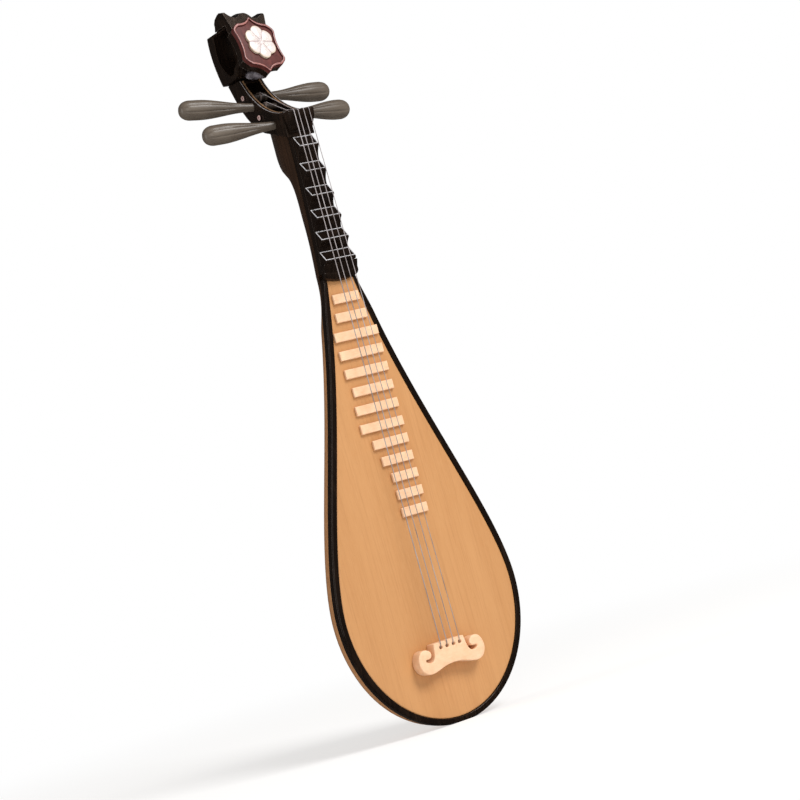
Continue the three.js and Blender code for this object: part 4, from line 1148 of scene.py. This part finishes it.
def add_world():
    world = bpy.data.worlds.new("pale_room")
    bpy.context.scene.world = world
    world.use_nodes = True
    nodes, links = world.node_tree.nodes, world.node_tree.links
    seen = nodes["Background"]
    seen.inputs["Color"].default_value = (1, 1, 1, 1)
    seen.inputs["Strength"].default_value = 1.0
    room = nodes.new("ShaderNodeBackground")
    room.inputs["Color"].default_value = (1.0, 0.985, 0.96, 1)
    room.inputs["Strength"].default_value = 0.4
    mirror = nodes.new("ShaderNodeBackground")
    mirror.inputs["Color"].default_value = (1.0, 0.98, 0.96, 1)
    mirror.inputs["Strength"].default_value = 0.05
    rays = nodes.new("ShaderNodeLightPath")
    soft = nodes.new("ShaderNodeMixShader")
    links.new(rays.outputs["Is Glossy Ray"], soft.inputs["Fac"])
    links.new(room.outputs["Background"], soft.inputs[1])
    links.new(mirror.outputs["Background"], soft.inputs[2])
    mix = nodes.new("ShaderNodeMixShader")
    links.new(rays.outputs["Is Camera Ray"], mix.inputs["Fac"])
    links.new(soft.outputs["Shader"], mix.inputs[1])
    links.new(seen.outputs["Background"], mix.inputs[2])
    links.new(mix.outputs["Shader"], nodes["World Output"].inputs["Surface"])


def add_floor():
    """A pale floor that fades into the backdrop away from the instrument."""
    bpy.ops.mesh.primitive_circle_add(vertices=96, radius=4.0, fill_type="NGON", location=(0, 0, 0))
    floor = bpy.context.active_object
    floor.name = "floor"
    material = bpy.data.materials.new("pale_floor")
    material.use_nodes = True
    nodes, links = material.node_tree.nodes, material.node_tree.links
    paper = nodes["Principled BSDF"]
    paper.inputs["Base Color"].default_value = (0.5, 0.495, 0.49, 1)
    paper.inputs["Roughness"].default_value = 0.8
    paper.inputs["Emission Color"].default_value = (1, 0.995, 0.99, 1)
    paper.inputs["Emission Strength"].default_value = 0.55
    glow = nodes.new("ShaderNodeEmission")
    place = nodes.new("ShaderNodeTexCoord")
    distance = nodes.new("ShaderNodeVectorMath")
    distance.operation = "LENGTH"
    fade = nodes.new("ShaderNodeMapRange")
    fade.interpolation_type = "SMOOTHSTEP"
    fade.inputs["From Min"].default_value = 0.12
    fade.inputs["From Max"].default_value = 0.5
    mix = nodes.new("ShaderNodeMixShader")
    links.new(place.outputs["Object"], distance.inputs[0])
    links.new(distance.outputs["Value"], fade.inputs["Value"])
    links.new(fade.outputs["Result"], mix.inputs["Fac"])
    links.new(paper.outputs["BSDF"], mix.inputs[1])
    links.new(glow.outputs["Emission"], mix.inputs[2])
    links.new(mix.outputs["Shader"], nodes["Material Output"].inputs["Surface"])
    floor.data.materials.append(material)
    floor.visible_glossy = False


# ---------- putting it together ----------
def build_body():
    build_soundboard()
    build_rim()
    build_back()
    for node in ("bass_bar_upper", "bass_bar_lower", "sound_post"):
        keep_with_bevel(node, look_of(node), 0.15 * MM)


def build_fingerboard():
    """The fingerboard, with its top end sloping up to meet the foot of the peg box."""
    mesh = frame["nodes"]["fingerboard"].data.copy()
    for vertex in mesh.vertices:
        if vertex.co.z > NECK_HIGH.z - 0.2 * MM:
            vertex.co.z += JOINT_SLOPE * (vertex.co.y - NECK_LOW.y)
    obj = bpy.data.objects.new("fingerboard_fine", mesh)
    bpy.context.scene.collection.objects.link(obj)
    stand_for(obj, "fingerboard", look_of("fingerboard"))
    ease_edges(obj, 0.2 * MM)


def build_neck():
    box_line = silver_line("silver_line_worn", display(168, 162, 162), display(70, 62, 58))
    build_fingerboard()
    keep_as_carved("neck_end_ridge", look_of("neck_end_ridge"), 0.14 * MM, 3)
    keep_as_carved("nut", look_of("nut"), 0.13 * MM, 2)
    for node in NODES:
        if node.startswith("xiang_line"):
            keep_with_bevel(node, look_of(node), 0.04 * MM)
        elif node.startswith("xiang_"):
            keep_with_bevel(node, look_of(node), 0.22 * MM)
        elif node.startswith("fret_"):
            keep_with_bevel(node, look_of(node), 0.14 * MM)
        elif node.startswith("peg_box_edging"):
            keep_with_bevel(node, look_of(node), 0.08 * MM)
        elif node.startswith("peg_box_outline"):
            keep_with_bevel(node, box_line, 0.08 * MM)


def build_head():
    keep_with_bevel("peg_box", look_of("peg_box"), 0.25 * MM)
    keep_with_bevel("head_block", look_of("head_block"), 0.3 * MM)
    # The crown's strong pale edges are mostly a painted highlight along its edges, with some wear.
    crown = black_lacquer("crown_lacquer", display(168, 158, 150), 0.75)
    keep_with_bevel("head_crown", crown, 0.3 * MM)
    plate_on_plaque("plaque", 0.3 * MM, 1)
    plate_on_plaque("plaque_border", 0.28 * MM, 2)
    build_flower()
    build_curl()


def build_strings():
    for joint in frame["joints"]:
        build_peg(joint)
        build_winding(joint)
    for node in STRING_RADIUS:
        build_string(node)
    ends = string_curl()
    for node in ("string_tail_upper", "string_tail_lower"):
        build_string_end(node, ends)


build_body()
build_neck()
build_bridge()
build_head()
build_strings()
add_floor()
add_world()
add_light("key", (0.35, -0.95, 1.05), (0.6, 0.6), 16)
add_light("fill", (-0.7, -1.0, 0.3), (0.5, 0.8), 2.5)
add_light("side", (-1.0, 0.25, 0.35), (0.25, 0.9), 2.5)
add_camera()
bpy.context.scene.view_settings.view_transform = "Standard"
